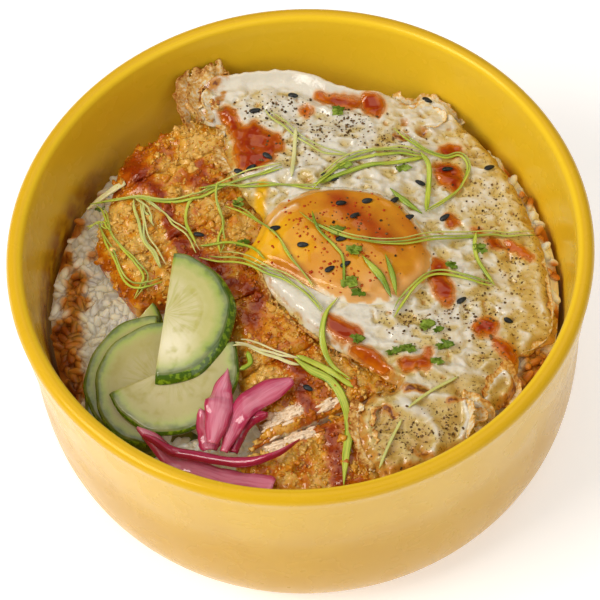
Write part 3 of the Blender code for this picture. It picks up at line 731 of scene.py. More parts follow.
@dataclass(frozen=True)
class StonewareGlaze(Finish):
    """Glazed stoneware, dipped and fired: a clear even yellow with a soft gloss and faint clouding."""

    # inside: a brighter yellow for the inner walls, painted light that lifts them against the rim
    inside: str = "FAD42E"
    deep: str = "E2B622"
    # The yellow laid low on the outside: painted shade that offsets the floor's light on the lower wall
    pale: str = "CE9E18"
    # sauce, and painted shade where the left inner wall meets the rice
    smear: str = "96540A"
    cloud_mm: float = 26.0

    def dress(self, paint: Paint) -> None:
        """A second yellow low on the outside and a brighter one inside, both painted light for how light
        falls on those walls, with clouding an inch across and sauce and painted shade on the left wall.

        Args:
            paint: the material as it is put together.
        """
        place = paint.add("TexCoord", {}, "Object")
        x, y, z = (paint.add("SeparateXYZ", {0: place}, axis) for axis in "XYZ")
        across = paint.add("Math", {0: x, 1: x}, operation="MULTIPLY")
        reach = paint.add("Math", {0: y, 1: y, 2: across}, operation="MULTIPLY_ADD")
        inner = paint.where_all(paint.ease(reach, 0.0797 ** 2, 0.0785 ** 2), paint.ease(z, 0.036, 0.04))
        # sauce and painted shade: brown low on the left inner wall, just above the rice
        wet = paint.where_all(paint.ease(z, 0.058, 0.046), paint.ease(x, -0.044, -0.066), inner,
                              paint.grit(7.0, 3.0, 0.3, 0.6, 0.35, 0.95))
        paint.colour = linear(self.deep)
        # painted shade: towards the foot the outside turns to the second yellow; only the noise in it is
        # glaze clouding
        clouds = paint.uneven(paint.ease(z, 0.072, 0.03), self.cloud_mm, 2.0, 0.35, 0.65, -0.15, 0.15)
        paint.lay(clouds, self.pale)
        # painted light: the inner walls take the brighter yellow
        paint.lay(inner, self.inside)
        paint.lay(wet, self.smear)
        paint.link("Roughness", paint.grit(9.0, 2.0, 0.3, 0.7, self.roughness - 0.04, self.roughness + 0.05))
        paint.relief(paint.grit(5.0, 1.0), 0.05, 0.25)


@dataclass(frozen=True)
class SteamedRice(Finish):
    """Steamed short-grain rice: milky, with a moist skin. Its faint glow is painted light: it stands for the
    light that grains pass on to one another, and brightens rice that the bowl's wall shades."""

    milk: str = "FFF4DA"
    shade: str = "F6E4C0"
    soaked: str = "C8802A"
    # the darkest stain: sauce, and partly painted shade in the gap where rice meets the wall
    stain: str = "84400A"
    passed_on: float = 0.04

    def dress(self, paint: Paint) -> None:
        """Each grain has its own tone, and sauce has soaked in along the wall; there its darkest stain is
        partly painted shade where the rice meets the wall.

        Args:
            paint: the material as it is put together.
        """
        paint.colour = linear(self.milk)
        paint.lay("tone", self.shade)
        paint.lay(paint.ease("stain", 0.0, 0.55), self.soaked)
        paint.lay(paint.ease("stain", 0.5, 1.0), self.stain)
        # painted glow: the rice gives off a little light in its own colour
        paint.link("Emission Color", paint.colour)
        paint.fix(Emission_Strength=self.passed_on)
        paint.relief(paint.grit(0.9, 2.0), 0.08, 0.5)


@dataclass(frozen=True)
class PankoCrust(Finish):
    """Coarse white breadcrumb fried in oil: honey gold, with browner tips, pale pits and an oily shine."""

    brown: str = "A85206"
    orange: str = "C4700A"
    honey: str = "D29424"
    pale: str = "DEB25A"
    soaked: str = "B0500A"
    sauce: str = "8A2A04"
    meat: str = "F8E6CC"
    fibre: str = "EACEAA"

    def dress(self, paint: Paint) -> None:
        """Crumb colours by noise at crumb size, then meat at the cuts and sauce over the top.

        Args:
            paint: the material as it is put together.
        """
        mixed = paint.add("Mix", {0: 0.4, 2: "tone", 3: paint.grit(1.5, 6.0)})
        stops = ((0.3, self.brown), (0.42, self.orange), (0.52, self.honey), (0.68, self.pale))
        paint.colour = paint.add("ValToRGB", {0: mixed}, stops=stops)
        flesh = paint.lay(paint.grit(0.8, 2.0, 0.35, 0.65), self.fibre, self.meat)
        cut = paint.where_all("cut", paint.ease("drop", 0.10, 0.2))
        paint.lay(paint.add("Math", {0: cut, 1: "bare"}, operation="MAXIMUM"), flesh)
        blots = paint.grit(2.2, 3.0, 0.3, 0.7, -0.16, 0.16)
        glaze = paint.add("Math", {0: "glaze", 1: blots}, operation="ADD")
        paint.lay(paint.ease(glaze, 0.16, 0.6, 0.0, 0.85), self.soaked)
        paint.lay(paint.ease(glaze, 0.5, 0.95), self.sauce)
        oily = paint.grit(3.0, 3.0, 0.35, 0.65, self.roughness - 0.12, self.roughness + 0.12)
        paint.link("Roughness", paint.add("Mix", {0: paint.ease(glaze, 0.3, 0.7), 2: oily, 3: 0.1}))
        paint.relief(paint.grit(1.2, 3.0), 0.35, 0.65, True)


@dataclass(frozen=True)
class SetWhite(Finish):
    """Egg white set in a hot pan: wet and white where thick, creamy where thin, brown lace at its edge."""

    white: str = "DCD8CA"
    cream: str = "CEB874"
    tan: str = "BA9440"
    gold: str = "C28634"
    burnt: str = "7A3E14"
    pore: str = "6E4A1E"
    sauce: str = "D8922E"
    yellow: str = "E8B414"

    def dress(self, paint: Paint) -> None:
        """Cream by thinness, sauce and yolk that have run over it, then gold to brown where it is crisp.

        Args:
            paint: the material as it is put together.
        """
        thin = paint.uneven("thin", 5.5, 4.0, 0.32, 0.68, -0.16, 0.16)
        stops = ((0.0, self.white), (0.2, self.white), (0.55, self.cream), (1.0, self.tan))
        paint.colour = paint.add("ValToRGB", {0: thin}, stops=stops)
        paint.lay(paint.where_all(paint.grit(0.7, 1.0, 0.62, 0.7), paint.ease(thin, 0.25, 0.6)), self.pore)
        paint.lay("runny", self.yellow)
        paint.lay("stain", self.sauce)
        crisp = paint.uneven("crisp", 2.0, 3.0, 0.3, 0.7, -0.2, 0.2)
        paint.lay(paint.ease(crisp, 0.25, 0.8), self.gold)
        paint.lay(paint.ease(crisp, 0.8, 1.0), self.burnt)
        paint.relief(paint.grit(1.4, 4.0), 0.28, 0.6, True)


@dataclass(frozen=True)
class CrispLace(Finish):
    """Egg white fried to a brittle lace: thin, blistered, straw to brown, light showing through."""

    milk: str = "EAE2C8"
    straw: str = "E2B766"
    brown: str = "9E5614"

    def dress(self, paint: Paint) -> None:
        """Milky to straw to brown, with browner blisters.

        Args:
            paint: the material as it is put together.
        """
        share = paint.uneven("tone", 0.9, 3.0, 0.35, 0.65, -0.25, 0.25)
        stops = ((0.0, self.milk), (0.45, self.straw), (1.0, self.brown))
        paint.colour = paint.add("ValToRGB", {0: share}, stops=stops)
        paint.relief(paint.grit(1.2, 2.0), 0.2, 0.6)


@dataclass(frozen=True)
class SoftYolk(Finish):
    """A soft yolk under a skin of white: orange, with runny yellow and a milky veil at its edge."""

    orange: str = "D69020"
    yellow: str = "F0B616"
    veil: str = "E4B06C"
    film: str = "F0E6D0"
    sauce: str = "B04A0C"

    def dress(self, paint: Paint) -> None:
        """Orange, then yellow where it runs, sauce where it is dragged, and the veil over all.

        Args:
            paint: the material as it is put together.
        """
        paint.colour = linear(self.orange)
        paint.lay(paint.uneven("runny", 5.0, 3.0, 0.3, 0.7, -0.25, 0.25), self.yellow)
        paint.lay("sauce", self.sauce)
        paint.lay(paint.ease("veil", 0.0, 0.75, 0.0, 0.9), self.veil)
        paint.lay(paint.ease("veil", 0.7, 1.0), self.film)
        paint.relief(paint.grit(2.0, 3.0), 0.22, 0.5)


@dataclass(frozen=True)
class ChilliSauce(Finish):
    """Thick chilli sauce: glossy, orange and see-through where thin, brick red where deep."""

    thin: str = "CC6E0C"
    deep: str = "982A02"

    def dress(self, paint: Paint) -> None:
        """Colour and cover by depth.

        Args:
            paint: the material as it is put together.
        """
        paint.colour = linear(self.thin)
        paint.lay(paint.uneven("deep", 4.0, 2.0, 0.3, 0.7, -0.35, 0.3), self.deep)
        paint.link("Alpha", paint.ease("deep", 0.0, 0.4, 0.3, 0.98))


@dataclass(frozen=True)
class CutCucumber(Finish):
    """Fresh cut cucumber: watery pale flesh, a clearer seed core and a mottled green peel."""

    core: str = "CAC48E"
    flesh: str = "B8B662"
    under_peel: str = "8AA414"
    peel: str = "42640A"
    dash: str = "7A9A1E"
    # wet: whitish colour for a painted highlight of wet shine
    wet: str = "EEEACC"
    # painted shade: an olive yellow that darkens slices lying lower in the stack
    dim: str = "867812"

    def dress(self, paint: Paint) -> None:
        """Rings of colour from the core out, and dashes round the peel, with painted shade on slices lower in
        the stack and whitish painted highlights.

        Args:
            paint: the material as it is put together.
        """
        wavy = paint.grit(2.2, 3.0, 0.3, 0.7, -0.02, 0.02)
        out = paint.add("Math", {0: "out", 1: wavy}, operation="ADD")
        stops = ((0.0, self.core), (0.52, self.core), (0.68, self.flesh), (0.76, self.flesh),
                 (0.89, self.under_peel), (0.952, self.peel))
        paint.colour = paint.add("ValToRGB", {0: out}, stops=stops)
        seeds = paint.ease(paint.streaks("round", out, 2.6, 2.0), 0.42, 0.62, 0.0, 0.9)
        paint.lay(paint.where_all(seeds, paint.ease(out, 0.66, 0.56)), self.flesh)
        paint.lay(paint.grit(4.5, 2.0, 0.35, 0.75, 0.0, 0.3), self.flesh)
        # painted shade: each slice darkened by its own amount
        paint.lay(paint.where_all(paint.ease(out, 0.92, 0.74, 0.15, 1.0), "dim"), self.dim)
        # painted highlight: whitish patches where the wet mark says
        paint.lay(paint.where_all(paint.grit(4.0, 2.0, 0.22, 0.52, 0.0, 0.92), "wet"), self.wet)
        peel = paint.lay(paint.grit(1.5, 3.0, 0.48, 0.62), self.dash, self.peel)
        paint.lay(paint.ease("side", 0.3, 0.7), peel)
        paint.relief(paint.grit(1.3, 3.0), 0.16, 0.5)


@dataclass(frozen=True)
class PickledOnion(Finish):
    """Red onion in vinegar: clear pink with fine veins along it and deep magenta edges."""

    pale: str = "D8849C"
    pink: str = "B83860"
    deep: str = "98143C"

    def dress(self, paint: Paint) -> None:
        """Veins run along the piece; the skin side and the edges are deeper.

        Args:
            paint: the material as it is put together.
        """
        veins = paint.streaks("across", "along", 5.0, 3.0)
        share = paint.add("Math", {0: "skin", 1: paint.ease(veins, 0.3, 0.7, -0.16, 0.16)},
                          operation="ADD", use_clamp=True)
        stops = ((0.0, self.pale), (0.5, self.pink), (1.0, self.deep))
        paint.colour = paint.add("ValToRGB", {0: share}, stops=stops)
        paint.relief(veins, 0.05, 0.3)


@dataclass(frozen=True)
class ScallionLeaf(Finish):
    """Scallion cut lengthwise: yellow-green, paler along the middle, darker at the cut edges."""

    light: str = "C4CE4E"
    green: str = "8EAA2A"
    dark: str = "56741A"
    white: str = "DEDAA6"

    def dress(self, paint: Paint) -> None:
        """Light in the middle of the width, green at the sides, whiter in the stem end.

        Args:
            paint: the material as it is put together.
        """
        streak = paint.streaks("across", "along", 5.0, 2.0)
        side = paint.add("Math", {0: "across"}, operation="ABSOLUTE")
        shade = paint.ease(side, 0.2, 1.0, 0.0, 0.35)
        for more in (paint.ease(streak, 0.35, 0.65, -0.4, 0.4), "dark"):
            shade = paint.add("Math", {0: shade, 1: more}, operation="ADD", use_clamp=True)
        stops = ((0.0, self.light), (0.5, self.green), (1.0, self.dark))
        paint.colour = paint.add("ValToRGB", {0: shade}, stops=stops)
        paint.lay("pale", self.white)
        paint.relief(streak, 0.08, 0.5)


@dataclass(frozen=True)
class Speckled(Finish):
    """Small dry bits, such as seed hull, leaf, pepper or chilli: one colour, and a second in patches."""

    first: str = "FFFFFF"
    second: str = "808080"
    patch_mm: float = 1.0

    def dress(self, paint: Paint) -> None:
        """Patches by noise, and each bit with its own tone.

        Args:
            paint: the material as it is put together.
        """
        paint.colour = linear(self.first)
        paint.lay(paint.uneven("tone", self.patch_mm, 2.0, 0.35, 0.65, -0.3, 0.3), self.second)
        paint.relief(paint.grit(self.patch_mm / 2, 2.0), 0.06, 0.4)


GLAZE = StonewareGlaze("glazed_stoneware", 0.26, 1.5, coat=0.12, shine=0.4, gleam="FFE48C")
RICE = SteamedRice("steamed_rice", 0.4, sink=0.9, sink_mm=(3.6, 2.8, 2.0), shine=0.3)
CRUST = PankoCrust("fried_panko", 0.34, coat=0.75, coat_roughness=0.05, sink=0.6, sink_mm=(2.0, 1.0, 0.35),
                   shine=0.25, gleam="FFD9A0")
CRUMBS = replace(CRUST, name="loose_panko", sink=0.0)
WHITE = SetWhite("set_egg_white", 0.28, coat=0.8, coat_roughness=0.07, sink=0.3, sink_mm=(1.6, 1.2, 0.8),
                 shine=0.35)
LACE = CrispLace("crisp_lace", 0.35, coat=0.3, sink=0.25, sink_mm=(0.6, 0.4, 0.2), shine=0.35, gleam="FFE6BE")
YOLK = SoftYolk("soft_yolk", 0.24, coat=0.5, coat_roughness=0.08, sink=0.15, sink_mm=(1.6, 0.7, 0.3),
                shine=0.3, gleam="FFE0A0")
SAUCE = ChilliSauce("chilli_sauce", 0.12, coat=0.6, coat_roughness=0.04, shine=0.3, gleam="FFD9A0")
CUCUMBER = CutCucumber("cut_cucumber", 0.2, coat=0.8, coat_roughness=0.07, sink=0.35, sink_mm=(1.5, 1.5, 0.9),
                       shine=0.35)
ONION = PickledOnion("pickled_onion", 0.16, coat=0.8, coat_roughness=0.06, sink=0.6, sink_mm=(2.2, 0.8, 1.0),
                     shine=0.3)
SCALLION = ScallionLeaf("scallion_leaf", 0.35, coat=0.3, sink=0.4, sink_mm=(0.5, 0.7, 0.2), shine=0.35)
SESAME = Speckled("black_sesame_hull", 0.34, shine=0.35, first="15181A", second="33393B", patch_mm=0.8)
PARSLEY = Speckled("chopped_parsley", 0.45, shine=0.3, first="54700E", second="8CA43A", patch_mm=1.2)
PEPPER = Speckled("cracked_pepper", 0.6, shine=0.2, first="3A2A14", second="8A6A40", patch_mm=0.4)
CHILLI = Speckled("chilli_flakes", 0.45, shine=0.3, first="B4280A", second="D2641C", patch_mm=0.5)


def dress(piece: Piece, finish: bpy.types.Material, slot: str, *nodes: str) -> Piece:
    """Gives a piece its material and its place in the frame.

    Args:
        piece: the piece.
        finish: its material.
        slot: the record's material slot; not used.
        nodes: the solids that it stands for.

    Returns:
        The piece.
    """
    piece.data.materials.clear()
    piece.data.materials.append(finish)
    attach(piece, "root")
    if nodes:
        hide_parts(*nodes)
    LOG.info("%s: %d faces", piece.name, len(piece.data.polygons))
    return piece


# Bowl


@dataclass
class Bowl:
    """A deep thick-walled bowl on a low foot ring."""

    radius: float = 82.5
    height: float = 77.0
    wall: float = 4.8
    shoulder_height: float = 45.0
    shoulder_radius: float = 80.0
    base_radius: float = 48.0
    corner_power: float = 4.3
    underside: float = 2.2
    floor: float = 6.0
    foot_outer: float = 52.0
    foot_inner: float = 46.0
    recess: float = 1.5
    turn_steps: int = 192

    def belly(self, fall: float | Array) -> float | Array:
        """How far out the side still is, 1 to 0, at a share of the way down from the shoulder."""
        return (1 - fall ** self.corner_power) ** (1 / self.corner_power)

    def outer(self, height: float) -> float:
        """Radius of the outside at a height.

        Args:
            height: height above the table.

        Returns:
            The radius.
        """
        if height >= self.shoulder_height:
            share = (height - self.shoulder_height) / (self.height - self.shoulder_height)
            return self.shoulder_radius + (self.radius - self.shoulder_radius) * share
        fall = (self.shoulder_height - height) / self.shoulder_height
        return self.base_radius + (self.shoulder_radius - self.base_radius) * self.belly(fall)

    def inner(self, height: float) -> float:
        """Radius of the inside at a height.

        Args:
            height: height above the table.

        Returns:
            The radius.
        """
        if height >= self.shoulder_height:
            return self.outer(height) - self.wall
        fall = min((self.shoulder_height - height) / (self.shoulder_height - self.floor), 1.0)
        return self.base_radius + (self.shoulder_radius - self.wall - self.base_radius) * self.belly(fall)

    def profile(self) -> list[tuple[float, float]]:
        """The half section, from the axis below, round the rim, to the axis inside.

        Returns:
            Its corners, each a radius and a height.
        """
        lip = self.wall / 2
        points = [(0.0, self.recess), (self.foot_inner - 1.5, self.recess), (self.foot_inner - 0.4, 0.3),
                  (self.foot_inner + 0.3, 0.0), (self.foot_outer - 0.4, 0.0), (self.foot_outer, 0.3),
                  (self.foot_outer + 1, self.underside - 0.4)]
        rise = [self.underside + 0.6 * k + 0.045 * k * k for k in range(1, 24)]
        rise = [z for z in rise if z < self.shoulder_height]
        points += [(self.outer(z), z) for z in rise]
        points += [(self.outer(z), z) for z in np.linspace(self.shoulder_height, self.height - lip - 1, 12)]
        for step in range(17):
            angle = math.pi * step / 16
            points.append((self.radius - lip + lip * math.cos(angle),
                           self.height - lip + lip * math.sin(angle)))
        points += [(self.inner(z), z) for z in np.linspace(self.height - lip - 1, self.shoulder_height, 12)]
        fall = [z + self.floor - self.underside for z in reversed(rise)]
        points += [(self.inner(z), z) for z in fall if self.floor + 0.3 < z < self.shoulder_height]
        return points + [(self.base_radius, self.floor), (0.0, self.floor)]

    def build(self) -> Piece:
        """Turns the section about the axis and glazes it.

        Returns:
            The bowl.
        """
        mesh = bpy.data.meshes.new("yellow_bowl")
        corners = [(r * MM, 0.0, z * MM) for r, z in reversed(self.profile())]
        mesh.from_pydata(corners, [(i, i + 1) for i in range(len(corners) - 1)], [])
        bowl = put("yellow_bowl", mesh)
        lathe = bowl.modifiers.new("Turn", "SCREW")
        lathe.axis = "Z"
        lathe.steps = lathe.render_steps = self.turn_steps
        lathe.use_merge_vertices = lathe.use_smooth_shade = True
        lathe.merge_threshold = 0.00001
        return dress(bowl, GLAZE.material(), "bowl_glaze", "bowl")


# Rice


@dataclass
class RiceBed:
    """Rice up to three fifths of the bowl: a core, and loose grains where it can be seen."""

    edge_height: float = 43.0
    rise: float = 4.2
    bank: float = 4.5
    swell: float = 0.5
    radius: float = 73.6
    grain_length: float = 5.6
    grain_width: float = 2.4
    grain_spacing: float = 2.0
    heaps: tuple = (
        Fold(((-42, -47), (-34, -50), (-27, -48)), 5.0, 4.6),
        Fold(((-66, 2), (-68, -10)), 5.0, 1.5),
    )
    # Where sauce soaked in, each a middle, a reach and a strength; those along the walls are partly painted
    # shade for the dark gap between rice and wall
    stains: tuple = (
        ((-65.5, 13), 5.5, 0.9), ((-66.5, 5), 6.5, 0.95), ((-70, -5), 8.0, 1.0), ((-70.5, -14), 8.5, 1.0),
        ((-68.5, -24), 8.5, 1.0), ((-63, -34), 6.0, 0.8), ((-61, 21), 4.0, 0.45), ((-71, 22), 6.0, 1.0),
        ((-67, 32), 5.0, 0.8), ((60, -38), 9.0, 0.75), ((50, -50), 9.0, 0.75), ((-58, 41), 3.5, 0.6),
        ((-30, -62), 6.0, 0.3), ((66, -30), 8.0, 0.8), ((73, -14), 4.5, 0.9), ((73.5, 0), 4.0, 0.9),
        ((72, 13), 4.5, 0.9), ((69, 26), 4.5, 0.9), ((64, 37), 4.5, 0.9), ((56, 48), 4.5, 0.9),
    )

    def top(self, spots: Array) -> Array:
        """Height of the bare rice at plan spots.

        Args:
            spots: the spots.

        Returns:
            One height a spot.
        """
        radius = np.hypot(spots[:, 0], spots[:, 1])
        dome = self.edge_height + self.rise * (1 - (radius / self.radius) ** 2)
        bank = self.bank * smooth_step(38.0, 58.0, spots[:, 0])
        heap = heaped(self.heaps, spots)
        clump = 1.5 * lumps(spots, 6.0, 6.1) + 1.6 * (0.42 - cells(spots, 6.5, 4.0))
        return dome + self.swell * lumps(spots, 9.0, 3.1) + clump + bank + heap

    def stain(self, spots: Array) -> Array:
        """How far sauce has soaked in at plan spots, 0 to 1; along the walls it is partly painted shade.

        Args:
            spots: the spots.

        Returns:
            One value a spot.
        """
        clear = np.ones(len(spots))
        wavy = 2.4 * lumps(spots, 5.0, 8.0) + 0.5 * lumps(spots, 1.6, 5.0)
        for (x, y), reach, most in self.stains:
            away = np.hypot(spots[:, 0] - x, spots[:, 1] - y) + wavy
            clear *= 1 - most * smooth_step(1.1 * reach, 0.0, away)
        return 1 - clear

    def core(self, bowl: Bowl) -> Piece:
        """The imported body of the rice, down to the bowl's floor.

        Args:
            bowl: the bowl that it fills.

        Returns:
            The core.
        """
        angles = np.linspace(0, FULL_TURN, 160, endpoint=False)
        outline = self.radius * np.column_stack((np.cos(angles), np.sin(angles)))
        plan = Plan.fill(outline, 2.0)
        radius = np.hypot(*plan.spots.T)
        widening = bowl.shoulder_radius - bowl.wall - bowl.base_radius
        fall = bowl.belly(np.clip((radius - bowl.base_radius) / widening, 0, 1))
        floor = bowl.shoulder_height - (bowl.shoulder_height - bowl.floor) * fall + 0.7
        floor = np.minimum(floor, bowl.shoulder_height - 2.6)
        roof = self.top(plan.spots) - 0.35 + 0.5 * lumps(plan.spots, 3.0, 9.0)
        roof = np.maximum(roof, floor + 0.3)
        marks = {"tone": np.full(len(plan.spots), 0.5), "stain": self.stain(plan.spots)}
        return dress(plan.solid("rice_core", floor, roof, marks), RICE.material(), "steamed_rice", "rice")

    def grains(self, cover: Ground) -> Piece:
        """Loose grains, in turn a little higher and lower, where the toppings leave a view of them.

        Args:
            cover: the toppings.

        Returns:
            One mesh of all the grains.
        """
        draw = random.Random(5)
        shape = Shape.grain(1.0, 1.0, 1.0, 3.2, rings=6, sides=8, bend=0.05)
        turns, centres, tones = [], [], []
        golden = math.pi * (3 - math.sqrt(5))
        total = round(1.05 * (self.radius / self.grain_spacing) ** 2 * math.pi)
        for i in range(total):
            reach = (self.radius - 1.6) * math.sqrt((i + 0.5) / total)
            spot = np.array([[reach * math.cos(golden * i), reach * math.sin(golden * i)]])
            spot += np.array([[draw.uniform(-0.7, 0.7), draw.uniform(-0.7, 0.7)]])
            z = float(self.top(spot)[0]) + (0.55 if i % 2 else -0.25) + draw.uniform(-0.4, 0.4)
            x, y = spot[0]
            if not cover.open_above(x, y, z):
                continue
            heading = draw.uniform(0, math.pi)
            if math.hypot(x, y) > self.radius - 3.5:
                heading = math.atan2(y, x) + math.pi / 2 + draw.uniform(-1.2, 1.2)
            pitch = draw.gauss(0, 0.32)
            size = (self.grain_length * draw.uniform(0.84, 1.1), self.grain_width * draw.uniform(0.88, 1.08),
                    0.9 * self.grain_width * draw.uniform(0.88, 1.05))
            turns.append(turn(heading, pitch, draw.uniform(-0.6, 0.6), size))
            centres.append((x, y, z))
            tones.append(draw.betavariate(1.4, 2.6))
        marks = {"tone": np.array(tones), "stain": np.zeros(len(centres))}
        LOG.info("rice grains: %d", len(centres))
        grains = shape.scatter("rice_grains", turns, centres, marks)
        corners = np.array([v.co for v in grains.data.vertices]) / MM
        grains.data.attributes["stain"].data.foreach_set("value", self.stain(corners).astype(np.float32))
        return dress(grains, RICE.material(), "steamed_rice")


# Cutlet


@dataclass
class Cutlet:
    """A fried cutlet in panko crumb, sliced in six and glazed with dark sauce."""

    floor: float = 48.3
    top: float = 60.3
    fall: float = 3.5
    slope: float = 7.0
    cut_axis: tuple[float, float] = (-0.34, 0.94)
    cuts: tuple = ((-45.0, 3.0), (-22.5, 0.7), (0.0, 0.8), (27.5, 0.8), (51.0, 0.7))
    crag: float = 0.8
    outline: tuple = (
        (-48.8, 49), (-52, 40.5), (-54.5, 32), (-57.5, 23.5), (-58.5, 16.5), (-55.5, 9), (-51.5, 2),
        (-47.5, -4), (-41, -3), (-34, -6), (-26, -13), (-20.5, -20), (-20, -31), (-18, -39), (-14.5, -47),
        (-18.7, -53), (-22.5, -56), (-21.5, -61), (-16, -67), (-6, -71), (6, -71), (16, -69), (25, -63),
        (31, -55), (34, -43), (36, -25), (37, 0), (36, 25), (32, 45), (24, 57), (8, 64), (-10, 66),
        (-22, 64), (-32, 58.5), (-41, 53),
    )
    glazes: tuple = (
        Fold(((-48, 45.5), (-46, 41), (-44.5, 38)), 4.2, 1.0),
        Fold(((-43, 37), (-40, 33), (-38.5, 29), (-37, 23), (-36, 18), (-34, 14.5)), 2.4, 0.95),
        Fold(((-34, 14), (-31, 9.5), (-27, 6.5), (-23.5, 3)), 3.4, 1.0),
        Fold(((-27, 41), (-26, 37.5), (-29.5, 34.5)), 1.9, 0.8),
        Fold(((-29, 33.5), (-22, 32.5)), 1.7, 0.75),
        Fold(((-22, -1), (-16.5, -3), (-13, -8), (-15, -14)), 3.2, 0.9),
        Fold(((-7, -28), (-4, -31.5), (-2.5, -36), (-3, -40.5), (0, -44)), 2.3, 0.85),
        Fold(((4, -51), (5, -58), (5.5, -67)), 3.0, 0.9),
    )
    bare_meat: tuple = (
        Fold(((-13, -47.0), (-8.5, -45.0), (-4, -43.6)), 2.1, 1.0),
        Fold(((-12.5, -53.9), (-7, -52.1), (-1, -50.3)), 2.3, 1.0),
        Fold(((3, -43.2), (8, -41.2)), 1.3, 0.9),
    )
    gap_fill: float = 0.8
    lowest_thread: float = 55.0
    # Each sort's count, face splits, least and most size, and how far it tips
    crumb_sorts: tuple = ((300, 2, (1.2, 2.8), 0.35), (1300, 1, (0.6, 1.3), 0.7), (2600, 0, (0.3, 0.7), 1.0))
    paler: tuple = (
        Fold(((-52, 30), (-49, 22), (-46, 12)), 5.0, 0.24),
        Fold(((-30, 50), (-24, 47)), 5.0, 0.24),
        Fold(((-24, 24), (-20, 16)), 6.0, 0.16),
        Fold(((-8, -60), (0, -66)), 5.0, 0.12),
        Fold(((12, -33), (16, -37)), 4.0, 0.2),
        Fold(((-14, -24), (-12, -32)), 4.0, 0.2),
    )
    # Darker crumb: beside the egg white's edge this is painted shade, where the egg shades the crust;
    # elsewhere it is browner crumb
    browner: tuple = (
        Fold(((-40, 52), (-46, 46), (-50, 38)), 4.0, 0.34),
        Fold(((-20, -8), (-12, -22), (-2, -34), (4, -46)), 5.0, 0.2),
        Fold(((-14, 6), (-16, -2)), 4.0, 0.3),
        Fold(((12, -36), (20, -38)), 5.0, 0.12),
        Fold(((6, -50), (8, -66)), 4.5, 0.2),
        Fold(((-58, 16), (-52, 4), (-46, -3)), 2.6, 0.3),
    )

    def mound(self, spots: Array) -> Array:
        """Height of the smooth top, which the egg follows past the cutlet's right side.

        Args:
            spots: the spots.

        Returns:
            One height a spot.
        """
        x, y = spots[:, 0], spots[:, 1]
        dome = self.fall * (((x + 5) / 60) ** 2 + ((y - 15) / 80) ** 2)
        return self.top - dome - self.slope * smooth_step(8.0, 74.0, x)

    def glaze(self, spots: Array) -> Array:
        """How thick the dark sauce lies at plan spots, 0 to 1."""
        return highest(self.glazes, wander(spots, 1.1, 3.2, (1.0, 2.0)))

    def crust(self, spots: Array, whole: Array, depth: Array) -> Array:
        """Height of the crumb.

        Args:
            spots: plan spots.
            whole: the whole cutlet's outline.
            depth: each spot's distance from its own strip's edge.

        Returns:
            The heights.
        """
        side = 2.6 * (1 - smooth_step(0.0, 5.0, edge_distance(spots, whole)))
        crag = self.crag * (lumps(spots, 5.0, 7.7) + 0.5 * lumps(spots, 2.6, 1.3))
        drift = wander(spots, 0.9, 2.6, (31.0, 34.0))
        crumb = 1.0 * (0.45 - cells(drift, 5.2, 5.0)) + 0.5 * (0.45 - cells(drift, 2.9, 2.0))
        crumb += 0.45 * (0.4 - cells(drift, 1.4, 9.0)) + 0.6 * lumps(drift, 2.1, 17.0)
        glaze = self.glaze(spots)
        rounded = 0.9 * (1 - smooth_step(0.0, 1.6, depth))
        return self.mound(spots) + crag - side + crumb * (1 - 0.6 * glaze) + 0.35 * glaze - rounded

    def tone(self, spots: Array) -> Array:
        """How pale the crumb is at plan spots, 0 to 1, darker beside the egg white's edge as painted shade.

        Args:
            spots: the spots.

        Returns:
            One value a spot.
        """
        patches = 0.5 + 0.42 * lumps(spots, 6.5, 2.2) + 0.3 * lumps(spots, 2.6, 4.4)
        pale = heaped(self.paler, spots)
        return np.clip(patches + pale - heaped(self.browner, spots), 0, 1)

    def build(self) -> Pieces:
        """Builds the six strips.

        Returns:
            The strips, from the front to the back.
        """
        axis = np.array(self.cut_axis) / math.hypot(*self.cut_axis)
        whole = curve(self.outline, 1.2, True)
        gaps = [(place, width - self.gap_fill * (width > 1)) for place, width in self.cuts]
        starts = [-90.0] + [place + width / 2 for place, width in gaps]
        ends = [place - width / 2 for place, width in gaps] + [90.0]
        finish = CRUST.material()
        strips = []
        for number, (start, end) in enumerate(zip(starts, ends), 1):
            outline = clip(clip(whole, axis, start), -axis, -end)
            outline = ragged(even(outline, 0.7), 0.45, 2.4, number * 2.3)
            plan = Plan.fill(outline, 0.7)
            spots = plan.spots
            roof = self.crust(spots, whole, plan.depth)
            along = spots @ axis
            cut = np.maximum(np.abs(along - start) < 1.1, np.abs(along - end) < 1.1).astype(float)
            bare = highest(self.bare_meat, spots)
            bare = smooth_step(0.4, 0.7, bare + 0.35 * lumps(spots, 2.0, 6.0))
            marks = {"tone": self.tone(spots), "glaze": self.glaze(spots), "bare": bare, "cut": cut}
            floor = self.floor + 0.5 * (1 - smooth_step(0, 2, plan.depth))
            strip = plan.solid(f"crumbed_strip_{number}", floor, roof, marks, 8, 0.4, 0.5)
            strips.append(dress(strip, finish, "fried_crumb", f"cutlet_strip_{number}"))
        return strips

